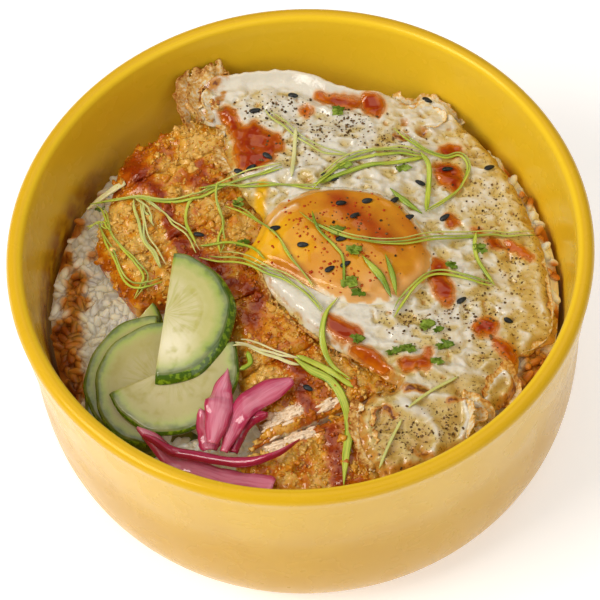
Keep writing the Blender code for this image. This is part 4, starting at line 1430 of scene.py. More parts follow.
    def crumbs(self, strips: Ground, cover: Ground) -> Pieces:
        """Standing crumbs on the crust, where it shows.

        Args:
            strips: the crust.
            cover: what lies on it.

        Returns:
            One mesh for each of three crumb forms.
        """
        draw = random.Random(8)
        whole = curve(self.outline, 3.0, True)
        low, high = whole.min(axis=0), whole.max(axis=0)
        finish = CRUMBS.material()
        result = []
        for number, (count, splits, (least, most), flatness) in enumerate(self.crumb_sorts, 1):
            turns, centres = [], []
            while len(centres) < count:
                x, y = draw.uniform(low[0], high[0]), draw.uniform(low[1], high[1])
                z = strips.height(x, y)
                if z < self.floor + 2 or not cover.open_above(x, y, z + 0.4):
                    continue
                wet = float(self.glaze(np.array([[x, y]]))[0])
                if wet > 0.5 and draw.random() < 0.7:
                    continue
                size = least + (most - least) * draw.random() ** 2
                stretch = (size * draw.uniform(1.1, 1.7), size, size * draw.uniform(0.5, 0.8))
                heading, tilts = draw.uniform(0, 6.3), (draw.gauss(0, flatness), draw.gauss(0, flatness))
                turns.append(turn(heading, *tilts, stretch))
                centres.append((x, y, z - 0.05 * size))
            places = np.array(centres)
            zero = np.zeros(len(places))
            spread = np.array([draw.gauss(0, 0.12) for _ in centres])
            bare = highest(self.bare_meat, places)
            tone = np.clip(self.tone(places) + (0.1 if number == 1 else 0.12) + spread, 0, 1)
            marks = {"tone": tone, "glaze": 0.9 * self.glaze(places), "bare": smooth_step(0.4, 0.7, bare),
                     "cut": zero, "drop": zero}
            shard = Shape.shard(number + 1, 0.8, splits)
            piece = shard.scatter(f"panko_crumbs_{number}", turns, centres, marks, splits > 0)
            result.append(dress(piece, finish, "fried_crumb"))
        return result

    def fibres(self, strips: Ground) -> Piece:
        """Torn threads of meat along the open cut.

        Args:
            strips: the crust.

        Returns:
            One mesh of all the threads.
        """
        draw = random.Random(14)
        shape = Shape.grain(1.0, 1.0, 1.0, 2.4, rings=6, sides=6, bend=0.2)
        turns, centres = [], []
        for fold in self.bare_meat:
            path = curve(fold.line, 0.25, False)
            heading = math.atan2(*(path[-1] - path[0])[::-1])
            for _ in range(round(len(path) * 1.5)):
                x, y = draw.choice(path.tolist())
                x, y = x + draw.gauss(0, 0.35), y + draw.gauss(0, 0.5) * fold.width
                size = (draw.uniform(2.6, 5.4), draw.uniform(0.7, 1.3), draw.uniform(0.5, 0.8))
                turns.append(turn(heading + draw.gauss(0, 0.2), draw.gauss(0, 0.06), 0.0, size))
                centres.append((x, y, strips.height(x, y, self.lowest_thread) + draw.uniform(-0.15, 0.2)))
        zero = np.zeros(len(centres))
        marks = {"tone": zero, "glaze": zero, "bare": zero + 1, "cut": zero, "drop": zero}
        piece = shape.scatter("meat_fibres", turns, centres, marks)
        return dress(piece, CRUMBS.material(), "fried_crumb")


# Egg


def crinkled_flake(rings: int, sides: int, reach: float) -> Shape:
    """A thin ragged disc about 1 mm across, waved like a fried edge.

    Args:
        rings: rows of corners from its middle out.
        sides: corners round.
        reach: how deep the waves are.

    Returns:
        The flake.
    """
    corners = [(0.0, 0.0, 0.0)]
    for ring in range(1, rings + 1):
        share = ring / rings
        for k in range(sides):
            a = FULL_TURN * k / sides
            torn = 1 + 0.3 * share * math.sin(3 * a + 1) + 0.22 * share * math.sin(8 * a)
            edge = 0.5 * share * torn
            wave = reach * (math.sin(4 * a + 5 * share) + 0.6 * math.sin(9 * a - 7 * share)) * share
            corners.append((edge * math.cos(a), edge * math.sin(a), wave))
    faces = [(0, 1 + k, 1 + (k + 1) % sides) for k in range(sides)]
    for ring in range(rings - 1):
        a, b = 1 + ring * sides, 1 + (ring + 1) * sides
        for k in range(sides):
            j = (k + 1) % sides
            faces += [(a + k, b + k, b + j), (a + k, b + j, a + j)]
    return Shape(np.array(corners), np.array(faces))


@dataclass
class Frill:
    """A thin frilled sheet of fried white: the line it stands on, its reach out from there, how high
    its free edge stands, how brown it is there, and the side that it leans to."""

    line: Spots
    reach: float
    lift: float
    tone: float
    side: int = 1
    lowest: float = 50.0

    def sheet(self, ground: Ground, seed: float) -> tuple[Array, Array, Array]:
        """Builds the sheet as a grid, waved at its free edge and open where bubbles burst.

        Args:
            ground: what it stands on.
            seed: picks its waves and bubbles.

        Returns:
            The corners, the faces and a tone for each corner.
        """
        path = curve(self.line, 0.34, False)
        ahead, right = ways(path, False)
        along = np.concatenate(([0.0], np.cumsum(np.hypot(*np.diff(path, axis=0).T))))
        rows = max(4, round(math.hypot(self.reach, self.lift) / 0.3))
        share, run = np.meshgrid(np.linspace(0, 1, rows), along, indexing="ij")
        flat = np.column_stack((run.ravel(), (share * self.reach).ravel()))
        uneven = 1 + 0.55 * lumps(np.column_stack((run.ravel(), share.ravel())), 2.6, seed)
        wave = 1.15 * lumps(flat, 2.8, seed + 3) + 0.3 * lumps(flat, 1.2, seed + 5)
        share = share.ravel()
        reach = (self.reach * share * uneven + 0.9 * wave * share).reshape(rows, -1)
        drift = 0.8 * (wave * share).reshape(rows, -1)
        spots = path[None] - self.side * right[None] * reach[..., None] + ahead[None] * drift[..., None]
        base = np.array([ground.height(x, y, self.lowest) for x, y in path.tolist()])
        ends = smooth_step(0, 1.6, run.ravel()) * smooth_step(along[-1], along[-1] - 1.6, run.ravel())
        rise = self.lift * share ** 1.2 * uneven * ends + 0.9 * wave * share
        level = np.tile(base, rows) - 0.15 + np.maximum(rise, 0.12)
        corners = np.column_stack((spots.reshape(-1, 2), level))
        faces = quads(np.arange(len(corners)).reshape(rows, -1))
        open_cell = cells(flat, 1.25, seed + 9) - 0.04 - 0.26 * share
        kept = open_cell[faces].mean(axis=1) > 0
        tone = np.clip(self.tone + 0.5 * share ** 2 + 0.3 * lumps(flat, 1.8, seed + 2), 0, 1)
        return corners, faces[kept], tone


@dataclass
class FriedEgg:
    """An egg fried hard at its edge and soft in its middle, draped over the cutlet."""

    cutlet: Cutlet
    thickness: float = 2.8
    under_yolk: float = 1.6
    yolk_rise: float = 3.9
    yolk_shoulder: float = 15.0
    lowest_flake: float = 48.0
    outline: tuple = (
        (-30.5, 63), (-29, 68), (-23, 70.5), (-17, 71), (-8, 71), (2, 70.5), (10, 67.5), (17.5, 63),
        (24.5, 61.5), (31, 60.5), (36, 58), (42.5, 59.5), (48, 56), (50.5, 51.5), (56, 44.5), (61, 36.5),
        (65.5, 25), (68.5, 14.5), (70.3, 6), (71, -5), (71, -15), (69.5, -22.5), (59.5, -29), (58, -34),
        (55.5, -43), (51, -45), (48.5, -49), (45, -55), (36, -61.5), (26, -66), (18.5, -67.5), (14, -63),
        (12.4, -58.5), (11.6, -51.7), (13.1, -45.5), (18, -41.8), (23.5, -40), (22.5, -37.6), (16.5, -33.5),
        (10.2, -28.7), (1, -21.2), (-6.7, -10.5), (-11.5, -5), (-12.3, 0), (-16, 5.6), (-11, 12),
        (-10, 18.7), (-14.4, 26), (-18.2, 35.3), (-19, 44), (-18.7, 51.4), (-24.5, 54), (-28, 58),
    )
    yolk_outline: tuple = (
        (-13.5, 1), (-14.5, 5.3), (-11.8, 10), (-8.5, 16.5), (-2.8, 22), (4.5, 24.3), (13.3, 25.3),
        (23.2, 23), (31.5, 17.5), (36.5, 8.4), (37.5, 0), (34.5, -8), (28, -13), (20.5, -15),
        (11.5, -14), (4.7, -10.2), (-3.3, -4.4), (-10, 0),
    )
    folds: tuple = (
        Fold(((-22, 67), (-16, 69), (-8, 69.2), (0, 68.6), (7, 66.3), (12, 63.2), (20, 60.5), (27, 58.8)),
             2.0, 1.7),
        Fold(((-10.5, 64.5), (-1.5, 63.5), (4, 61), (11, 57.5), (22, 56)), 2.6, -1.1),
        Fold(((-5, 56.5), (1.5, 57.2), (6, 55.8), (11, 53.5), (16.5, 51), (23, 49.5)), 1.8, 1.2),
        Fold(((-22.5, 53.5),), 2.8, 1.9),
        Fold(((-21, 60.8),), 2.0, 1.2),
        Fold(((-16, 60.2),), 2.0, 1.1),
        Fold(((38, 56.5), (43.5, 56.8), (48.5, 52.5), (47, 48), (42, 49)), 1.6, 1.6),
        Fold(((34, 48.5),), 1.3, -1.6),
        Fold(((39, 45.8),), 1.5, -1.6),
        Fold(((31, 44.5), (35, 43)), 1.3, -1.2),
        Fold(((50, 52), (56, 44), (61, 35.5), (65, 25)), 2.0, 0.6),
        Fold(((-8.5, -11), (-3, -17), (3, -22), (9, -26.5)), 2.2, 0.9),
        Fold(((24.5, -40.5), (32.5, -43.5), (39.5, -44.8)), 1.5, 1.1),
        Fold(((26, -46.5), (31, -50), (33.5, -56), (31, -63)), 1.5, 1.1),
        Fold(((19, -44), (22.5, -47.5), (27, -49)), 1.6, 0.9),
        Fold(((42, -45), (42.3, -50.5), (40.5, -56)), 1.1, 1.7),
        Fold(((45, -46), (48, -48.5), (45.5, -52.5), (43.5, -50)), 1.0, 1.3),
        Fold(((48.5, -44.5), (50.5, -39.5), (54, -36), (56, -39), (53.5, -43)), 1.1, 1.5),
        Fold(((60, -18), (64, -8), (65, 2), (62, 12)), 2.6, 0.5),
        Fold(((46, -31), (52, -33), (57, -36)), 1.6, 0.8),
        Fold(((-1.5, 47), (4.5, 43), (10, 44), (17, 42)), 2.4, 0.9),
        Fold(((-7, 34), (-1, 31.5), (8, 31)), 2.0, 0.9),
        Fold(((24, 38), (32, 37), (38, 41)), 2.4, 0.8),
    )
    crisps: tuple = (
        Fold(((-31, 62), (-29, 66.5), (-23, 70), (-18, 71)), 3.4, 1.2),
        Fold(((-26.5, 60), (-24, 64), (-20, 66.5)), 2.2, 0.95),
        Fold(((-26.5, 56), (-21.5, 57.5), (-18, 63)), 1.3, 0.75),
        Fold(((-19.5, 51), (-19.8, 44), (-18.5, 36)), 1.5, 0.85),
        Fold(((23, -39), (17.5, -40.5), (12.8, -45.5), (11.3, -52), (12, -59), (14.5, -64), (19, -68)),
             3.6, 0.8),
        Fold(((38.5, 56.5), (34.5, 56)), 1.5, 0.8),
        Fold(((34, 48.5),), 1.6, 0.95),
        Fold(((39, 45.8),), 1.9, 1.0),
        Fold(((31, 44.3), (34, 43.2)), 1.5, 0.9),
        Fold(((26.5, -41.5), (32, -42)), 1.7, 1.1),
        Fold(((19.5, -47.5), (22, -49.5)), 1.7, 0.95),
        Fold(((38, -45.2), (42, -44.3)), 1.3, 0.9),
        Fold(((27, -60.5), (31, -62)), 1.6, 0.75),
        Fold(((20, -66), (33, -62.5), (43, -56)), 1.7, 0.75),
        Fold(((57, -33), (56.5, -40), (52, -45)), 1.3, 0.95),
        Fold(((70, -8), (70.8, -16), (68.5, -23.5), (60, -29)), 1.2, 0.6),
        Fold(((-12, 4), (-8, -7), (0, -18), (9, -27), (18, -34.5)), 0.8, 0.45),
    )
    lace_lines: tuple = (
        (((-31, 62), (-29.5, 67), (-24, 70), (-18, 71)), 0.9, 7, 3.6),
        (((-27, 59), (-25, 64), (-20, 67)), 1.1, 4, 3.0),
        (((-25.5, 55.5), (-22, 56.5)), 0.8, 5, 2.4),
        (((23, -39), (17.5, -40.5), (12.8, -45.5), (11.6, -52), (12.2, -59), (14.5, -63.5)), 0.9, 9, 2.4),
    )
    frills: tuple = (
        Frill(((-26.5, 54.5), (-29, 59), (-29, 64), (-26, 67.5), (-21, 69.3), (-16.5, 70)), 3.6, 2.8, 0.28),
        Frill(((-24.5, 55), (-26, 60), (-24.5, 64.5), (-20.5, 67)), 3.0, 2.6, 0.2),
        Frill(((-21.5, 54), (-22.5, 59), (-20.5, 63)), 2.2, 1.6, -0.05),
        Frill(((-18.5, 52), (-19.4, 46.5), (-19.3, 40.5), (-17.5, 35)), 2.8, 0.9, 0.3, side=-1),
        Frill(((24, -38.6), (18, -40.2), (13.5, -45), (12, -52), (12.8, -58.5), (15.5, -64)),
              2.6, 0.9, 0.5, side=-1),
        Frill(((24, -40.5), (19, -42), (15.2, -46.5), (13.6, -52), (14.4, -58.5), (17.5, -64.5)),
              3.2, 0.9, 0.35),
        Frill(((41.5, -45.6), (45, -45.3), (48.3, -47.8), (46.8, -51.5), (43.5, -53)), 2.2, 1.8, 0.15),
        Frill(((43, -47.5), (45.5, -49.5), (43.2, -52)), 1.8, 1.6, 0.1),
        Frill(((48.6, -44.5), (50.3, -39.8), (53, -36), (56, -36), (57, -39.5), (54.5, -43.5)),
              2.0, 1.7, 0.35),
        Frill(((42.3, -45.2), (42.6, -50.5), (41, -56.2)), 1.3, 1.9, 0.05),
        Frill(((70.4, 4), (70.8, -6), (70.6, -15), (68, -22.8), (60, -28)), 1.3, 0.7, 0.2, side=-1),
        Frill(((31, 60.3), (36, 57.8), (42.3, 59.3), (48, 55.8), (51, 51)), 1.8, 1.6, 0.0),
        Frill(((35.5, 52.5), (40.5, 54.5), (45, 52), (43.5, 47.5), (38.5, 48.2)), 1.4, 1.3, -0.1),
        Frill(((-11.5, 2), (-9.5, -6.5), (-2, -17.8), (6, -25.5), (15, -32.5)), 1.1, 0.4, 0.55, side=-1),
    )
    films: tuple = (
        Fold(((8, 26), (1, 25.5), (-4.5, 22), (-8, 17.5)), 1.7, 1.0),
        Fold(((0, 17.8), (-4.5, 15.8), (-8, 12)), 0.9, 0.95),
        Fold(((-11, -0.5), (-5, -3.8), (1, -8.5), (6, -12)), 1.0, 0.9),
    )
    dragged: tuple = (
        Fold(((12, 19), (17, 13), (22, 7), (25, 4)), 4.4, 1.0),
        Fold(((-7, -0.5), (-2, -3.5), (2, -6)), 2.4, 0.75),
        Fold(((31, 12), (35, 4)), 3.0, 0.5),
        Fold(((4, 20), (-2, 18)), 2.0, 0.35),
    )
    calm: tuple = (
        Fold(((-8, -8), (2, -17), (12, -27)), 6.5, 1.0),
        Fold(((-22, 66), (-8, 67.5), (4, 65), (14, 60.5), (27, 57.5)), 4.2, 1.0),
        Fold(((28, -42), (24, -46)), 3.5, 0.8),
    )
    yellow_runs: tuple = (
        Fold(((-13.5, 1), (-15, 6), (-11.5, 11.5)), 2.8, 1.0),
        Fold(((-10.5, 14), (-10.8, 19), (-9.8, 24), (-9, 28)), 2.7, 1.0),
    )

    def white_level(self, spots: Array) -> Array:
        """Height of the white's underside."""
        return self.cutlet.mound(spots) + 1.5 * self.cutlet.crag + 0.6

    def smooth_white(self, spots: Array, depth: Array, yolk: Array) -> Array:
        """The white's top without its folds.

        Args:
            spots: plan spots.
            depth: distance of each from the white's edge.
            yolk: distance of each inside the yolk's edge.

        Returns:
            The heights.
        """
        body = self.thickness + 0.6 * lumps(spots, 11.0, 5.2) + 0.35 * lumps(spots, 5.0, 2.2)
        under = smooth_step(0.0, 6.0, yolk)
        body = body + (self.under_yolk - body) * under
        return self.white_level(spots) + body * (0.45 + 0.55 * smooth_step(0.0, 3.0, depth))

    def crispness(self, spots: Array) -> Array:
        """How brown the white is at plan spots, 0 to over 1."""
        return highest(self.crisps, wander(spots, 0.8, 2.4, (3.0, 9.0)))

    def white(self, pools: list[Array]) -> Piece:
        """Builds the white: folds, blisters, frilled lace and a thin wet edge.

        Args:
            pools: outlines of the sauce that stains it.

        Returns:
            The white.
        """
        outline = even(curve(self.outline, 0.8, True), 0.8)
        lace = np.clip(self.crispness(outline), 0, 1)
        outline = even(ragged(outline, 0.6 + 1.0 * lace, 2.6, 1.5), 0.6)
        outline = ragged(outline, 0.3 + 0.5 * np.clip(self.crispness(outline), 0, 1), 1.1, 7.5)
        plan = Plan.fill(outline, 0.58)
        spots, depth = plan.spots, plan.depth
        yolk = edge_distance(spots, curve(self.yolk_outline, 1.5, True))
        crisp = self.crispness(spots)
        drape = smooth_step(-33, -42, spots[:, 1])
        right = smooth_step(40, 66, spots[:, 0] + 5 * lumps(spots, 12.0, 3.0))
        rough = 1 - highest(self.calm, spots)
        roof = self.smooth_white(spots, depth, yolk)
        outside = 1 - smooth_step(-2.0, 1.0, yolk)
        for fold in self.folds:
            roof += fold.raise_at(spots) * outside * smooth_step(0, 2.0, depth)
        drift = wander(spots, 1.2, 4.5, (21.0, 24.0))
        long = drift * (0.75, 1.25)
        blisters = 0.9 * (0.42 - cells(drift, 4.6, 1.0)) + 0.45 * lumps(drift, 2.6, 6.0)
        fine = 0.3 * (0.4 - cells(drift, 1.8, 8.0))
        coarse, close = np.abs(lumps(long, 4.6, 11.0)), np.abs(lumps(long, 2.3, 14.0))
        wrinkles = 1.7 * (0.2 - coarse) + 0.8 * (0.2 - close)
        roof += outside * rough * (0.55 * blisters * (1 - 0.5 * drape) + wrinkles * (1 - 0.3 * drape)
                                   + fine * (0.5 + 0.3 * np.clip(crisp, 0, 1)))
        pits = smooth_step(0.38, 0.55, lumps(spots, 2.1, 3.3)) * rough * outside
        roof += 0.6 * drape * lumps(spots, 6.0, 1.2) - 0.7 * pits
        edge_fall = 1.1 * (1 - smooth_step(0.0, 2.6, depth))
        roof -= edge_fall
        floor = np.minimum(self.white_level(spots) - 0.9 * edge_fall, roof - 0.35)
        edge = 0.5 * (1 - smooth_step(0.0, 2.6, depth))
        thick = heaped([fold for fold in self.folds if fold.height > 1.0], spots)
        thin = 0.29 + 0.22 * right + 0.42 * drape + edge + 0.3 * lumps(spots, 6.0, 4.0) + 0.25 * pits
        raised = 0.42 * np.clip(0.55 * blisters + wrinkles, -0.8, 0.8) * rough * (1 - 0.6 * drape)
        thin -= raised + 0.4 * thick + 0.4 * (1 - rough)
        away = np.max([edge_distance(spots, pool) for pool in pools], axis=0)
        stain = 0.85 * smooth_step(-1.0, 0.2, away + 0.6 * lumps(spots, 1.8, 2.0))
        bare_yolk = 0.85 * smooth_step(-0.8, 0.4, yolk + 0.4 * lumps(spots, 3.0, 5.0))
        bare_yolk *= smooth_step(8, -4, spots[:, 0])
        fuzz = smooth_step(-2.6, 0.6, yolk + 1.6 * lumps(spots, 2.6, 7.0)) * smooth_step(14, 30, spots[:, 0])
        runny = np.max([highest(self.yellow_runs, spots), bare_yolk, 0.62 * fuzz], axis=0)
        marks = {"crisp": np.maximum(crisp, 0.45 * pits), "thin": np.clip(thin, 0, 1), "stain": stain,
                 "runny": smooth_step(0.3, 0.9, runny)}
        white = plan.solid("fried_white", floor, roof, marks, 3, 0.15)
        return dress(white, WHITE.material(), "egg_white", "egg_white")

    def lace(self, ground: Ground) -> Piece:
        """Brittle crinkled flakes that stand along the crisp edges.

        Args:
            ground: the white and what is under its edge.

        Returns:
            One mesh of all the flakes.
        """
        draw = random.Random(17)
        shape = crinkled_flake(8, 22, 0.13)
        turns, centres, tones = [], [], []
        for line, reach, count, size in self.lace_lines:
            path = curve(line, 0.5, False).tolist()
            for _ in range(count):
                x, y = draw.choice(path)
                x, y = x + draw.gauss(0, reach), y + draw.gauss(0, reach)
                z = ground.height(x, y)
                if z < self.lowest_flake:
                    continue
                wide = size * draw.uniform(0.5, 1.15)
                heading = draw.uniform(0, 6.3)
                turns.append(turn(heading, draw.gauss(0, 0.6), draw.gauss(0, 0.6), (wide, wide, wide * 0.8)))
                centres.append((x, y, z + 0.22 * wide))
                tones.append(draw.uniform(0.05, 0.85))
        piece = shape.scatter("crisp_lace", turns, centres, {"tone": np.array(tones)})
        thicken(piece, 0.22)
        return dress(piece, LACE.material(), "egg_white")

    def frill(self, ground: Ground) -> Piece:
        """Thin frilled sheets with burst bubbles, that stand along the white's edges and folds.

        Args:
            ground: the white and what is under its edge.

        Returns:
            One mesh of all the sheets.
        """
        corners, faces, tones = [], [], []
        count = 0
        for number, band in enumerate(self.frills):
            spots, sheet, tone = band.sheet(ground, number * 7.3 + 1.0)
            corners.append(spots)
            faces += (sheet + count).tolist()
            tones.append(tone)
            count += len(spots)
        piece = make_object("fried_frill", np.vstack(corners), faces, {"tone": np.concatenate(tones)})
        thicken(piece, 0.16)
        return dress(piece, LACE.material(), "egg_white")

    def yolk(self) -> Piece:
        """Builds the yolk, which rises out of the white without a step.

        Returns:
            The yolk.
        """
        outline = even(curve(self.yolk_outline, 1.0, True), 0.8)
        plan = Plan.fill(outline, 0.8)
        spots, depth = plan.spots, plan.depth
        under = self.smooth_white(spots, np.full(len(spots), 20.0), depth) + 0.45
        share = np.clip(depth / self.yolk_shoulder, 0, 1)
        dome = 0.9 + self.yolk_rise * (0.55 * share * (2 - share) + 0.45 * np.sqrt(1 - (1 - share) ** 2))
        edge = smooth_step(0.0, 3.0, depth)
        uneven = 0.4 * (lumps(spots, 8.0, 2.0) + lumps(spots, 3.4, 7.0))
        roof = under - 0.5 + (dome + 0.35) * edge + uneven * edge
        for film in self.films:
            roof += 0.9 * film.raise_at(spots)
        floor = np.minimum(under - 0.6, roof - 0.3)
        x, y = spots.T
        band = smooth_step(-4, 14, x)
        low_edge = 1 - smooth_step(0.3 + 1.2 * band, 2.0 + 4.2 * band, depth + 2.0 * lumps(spots, 4.0, 1.0))
        near = smooth_step(2, -7, y - 0.1 * x + 2.0 * lumps(spots, 6.0, 9.0))
        rim = 1 - smooth_step(0.2, 2.8, depth + 1.7 * lumps(spots, 2.8, 4.0))
        milky = [highest(self.films, spots), 0.68 * low_edge * near, rim * smooth_step(-10, 4, x + 0.4 * y),
                 0.6 * np.exp(-((x - 20.5) ** 2 + 2 * (y + 9.0) ** 2) / 26),
                 0.5 * np.exp(-((x - 5.5) ** 2 + (y + 6.5) ** 2) / 9)]
        veil = np.max(milky, axis=0)
        sauce = highest(self.dragged, spots)
        marks = {"runny": smooth_step(10, -8, x + 0.3 * y + 3.0 * lumps(spots, 6.0, 5.0)),
                 "veil": np.clip(veil, 0, 1), "sauce": np.clip(sauce + 0.15 * lumps(spots, 3.0, 8.0), 0, 1)}
        return dress(plan.solid("soft_yolk", floor, roof, marks, 2), YOLK.material(), "egg_yolk", "yolk")


@dataclass
class SaucePools:
    """Chilli sauce that has pooled on the egg."""

    thickness: float = 0.3
    pools: tuple = (
        ((-20.5, 56), (-16.5, 57.5), (-14, 53), (-13.5, 50), (-10, 51.5), (-8, 48.5), (-3, 45), (-1.5, 41),
         (-4, 38), (-8.5, 34), (-15.5, 33.5), (-17, 38.5), (-17, 45.5), (-18.5, 51)),
        ((8.5, 61), (15, 59), (21.5, 58), (22, 55.5), (18.5, 53.8), (14, 54.8), (9, 57)),
        ((22, 58), (26, 59), (28.8, 56), (28.5, 52), (26.5, 50), (23.5, 51.5), (22, 54.5)),
        ((3, 54.3), (5.5, 55), (7.8, 53.6), (7.2, 51.6), (4.6, 51.4)),
        ((42.3, 39), (46, 42), (50, 41), (49.5, 37.5), (45, 36.6)),
        ((41, 33.5), (46, 35), (49.8, 30.5), (48, 25), (43.5, 25.6), (41, 29)),
        ((42.6, 15.6), (45, 16.4), (46.4, 14), (44.8, 11.8), (42.8, 13)),
        ((50, 11.6), (52.5, 12), (54, 9.8), (51.6, 9.2)),
        ((53.6, 8.8), (57, 9.4), (58.8, 6), (56, 4.6), (53.8, 6.2)),
        ((59, 8.8), (63.5, 7), (67.5, 3.4), (66, 0.8), (62.6, 3), (59.4, 5.8)),
        ((37, 0.5), (41, 0.5), (42, -4.5), (43, -12), (40, -14.6), (36.8, -11.5), (35.5, -6)),
        ((46.8, -21), (50.5, -17.6), (54.2, -19.3), (53, -23), (48, -24)),
        ((51.5, -23.6), (55.5, -25), (59, -29.2), (57, -32.4), (53.3, -30)),
        ((25, -31.5), (30, -31), (34.5, -28), (34, -34), (30, -35.4), (26, -36)),
        ((6.5, -17), (11, -19.5), (16, -24.2), (12, -27.5), (7.5, -25), (5, -20.5)),
        ((11.5, -28), (16, -27.5), (21.5, -32.5), (22.5, -36.2), (18, -35), (13.5, -31.5)),
    )

    def outlines(self) -> list[Array]:
        """The pools' outlines."""
        return [ragged(even(curve(points, 0.7, True), 0.6), 0.9, 2.2, number * 1.9)
                for number, points in enumerate(self.pools, 1)]

    def build(self, ground: Ground) -> Pieces:
        """Builds each pool on what lies under it.

        Args:
            ground: the egg.

        Returns:
            The pools.
        """
        finish = SAUCE.material()
        result = []
        for number, outline in enumerate(self.outlines(), 1):
            plan = Plan.fill(outline, 0.6)
            level = ground.heights(plan.spots)
            level = np.maximum(level, np.median(level) - 2.0)
            deep = smooth_step(0.0, 2.4, plan.depth + 0.6 * lumps(plan.spots, 2.0, number * 1.3))
            plain = np.column_stack((plan.spots[:, :2], np.ones(len(level))))
            flat = plain @ np.linalg.lstsq(plain, level, rcond=None)[0]
            filled = np.clip(0.7 * (flat - level), 0, 0.8) * smooth_step(0.2, 2.0, plan.depth)
            roof = level + 0.05 + filled + self.thickness * smooth_step(0.0, 2.2, plan.depth)
            piece = plan.solid(f"sauce_pool_{number}", level - 0.25, roof, {"deep": deep})
            result.append(dress(piece, finish, "egg_white"))
        return result


# Cucumber


@dataclass
class CucumberSlice:
    """Half a slice of cucumber: its name, middle, level in the stack, facing and radius, how far its
    peel flares, how much painted shade darkens it, and its own plane where it leans outside the stack."""

    name: str
    centre: tuple[float, float]
    level: int
    facing: float
    radius: float
    lip: float = 0.5
    dim: float = 0.0
    plane: tuple[float, float, float] | None = None


@dataclass
class Cucumbers:
    """Half slices fanned over one another."""

    thickness: float = 2.1
    tilt: tuple[float, float] = (0.10, 0.17)
    base: float = 57.0
    step: float = 2.42
    # The painted highlight: its middle, its reach and the level of the slice it lies on
    gleam: tuple[float, float, float, int] = (-38.0, -22.5, 6.5, 5)
    slices: tuple = (
        CucumberSlice("cucumber_under", (-46, -33.4), 0, 232, 16.6, dim=0.76),
        CucumberSlice("cucumber_lower", (-46.5, -30.6), 1, 190, 17.6, dim=0.72),
        CucumberSlice("cucumber_outer", (-45, -27.3), 2, 170, 18.5, dim=0.68),
        CucumberSlice("cucumber_inner", (-42.5, -30.5), 3, 165, 18.0, dim=0.62),
        CucumberSlice("cucumber_front", (-38.5, -27.7), 4, 286, 18.5, dim=0.54),
        CucumberSlice("cucumber_top", (-39.3, -12.9), 5, 348, 18.0, 1.9),
        CucumberSlice("cucumber_rear", (-48.6, -8.6), -1, 308, 7.2, dim=0.05, plane=(57.7, 0.0, 0.6)),
    )

    def build(self) -> Pieces:
        """Builds every slice."""
        finish = CUCUMBER.material()
        return [self.half_slice(one, finish) for one in self.slices]

    def half_slice(self, one: CucumberSlice, finish: bpy.types.Material) -> Piece:
        """A half disc with a soft edge, a sunken seed core and a peel round its curved side.

        Args:
            one: the slice.
            finish: its material.

        Returns:
            The slice.
        """
        rings, steps = 26, 64
        outs = np.concatenate((np.linspace(0, 0.93, rings - 6), (0.95, 0.965, 0.98, 0.99, 0.997, 1.0)))
        angles = np.radians(one.facing) + np.linspace(-math.pi / 2, math.pi / 2, steps + 1)
        out, angle = np.meshgrid(outs, angles, indexing="ij")
        seed = one.level * 3.1 + 11
        wobble = 1 + 0.012 * np.sin(5 * angle + seed) + 0.008 * np.sin(11 * angle + seed)
        x = one.centre[0] + one.radius * wobble * out * np.cos(angle)
        y = one.centre[1] + one.radius * wobble * out * np.sin(angle)
        spots = np.column_stack((x.ravel(), y.ravel()))
        start, *rise = one.plane or (self.base + self.step * one.level, *self.tilt)
        flat = start + spots @ np.array(rise)
        reach = out.ravel()
        core = 0.28 * smooth_step(0.62, 0.5, reach) * (0.6 + 0.8 * lumps(spots, 2.6, seed))
        edge = 0.35 * smooth_step(0.975, 1.0, reach)
        wave = 0.12 * lumps(spots, 9.0, seed + 2)
        top = np.column_stack((spots, flat + self.thickness - core - edge + wave))
        bottom = np.column_stack((spots, flat + 0.35 * smooth_step(0.975, 1.0, reach)))
        count, columns = len(spots), steps + 1
        grid = np.arange(count).reshape(rings, columns)
        upper = quads(grid)[:, (0, 3, 2, 1)]
        faces = upper.tolist() + (upper[:, ::-1] + count).tolist()
        walls, corners = [grid[-1]], [top, bottom]
        for k in range(1, 5):
            share = k / 5
            swell = 0.35 * math.sin(math.pi * share)
            ring = top[grid[-1]] * (1 - share) + bottom[grid[-1]] * share
            flare = one.lip * math.sin(math.pi * share * 0.6) * smooth_step(-0.4, 0.5, np.cos(angles + 0.9))
            ring[:, 0] += (swell + 0.9 * flare) * np.cos(angles)
            ring[:, 1] += (swell + 0.9 * flare) * np.sin(angles)
            ring[:, 2] -= 0.7 * flare
            corners.append(ring)
            walls.append(2 * count + (k - 1) * columns + np.arange(columns))
        walls.append(grid[-1] + count)
        faces += quads(np.stack(walls))[:, (0, 3, 2, 1)].tolist()
        left = np.concatenate((grid[::-1, 0], grid[1:, -1]))
        faces += quads(np.stack((left, left + count))).tolist()
        # painted highlight: a whitish patch on the top slice, fainter over the front slice and the rest
        lit_x, lit_y, lit_reach, lit_level = self.gleam
        gleam = np.exp(-((spots[:, 0] - lit_x) ** 2 + (spots[:, 1] - lit_y) ** 2) / lit_reach ** 2)
        gleam = np.maximum(gleam * (one.level == lit_level), 0.2 if one.level == 4 else 0.08)
        marks = {
            "wet": np.concatenate((gleam, gleam, np.zeros(4 * columns))),
            "out": np.concatenate((reach, reach, np.ones(4 * columns))),
            "round": np.concatenate((*[np.tile(angles, rings) * 3.0] * 2, np.zeros(4 * columns))),
            "dim": np.full(2 * count + 4 * columns, one.dim),
            "side": np.concatenate((np.where(reach > 0.998, 0.5, 0.0), np.where(reach > 0.998, 1.0, 0.0),
                                    np.ones(4 * columns))),
        }
        piece = make_object("sliced_" + one.name, np.vstack(corners), faces, marks)
        return dress(piece, finish, "cucumber", one.name)


# Strips of onion and scallion


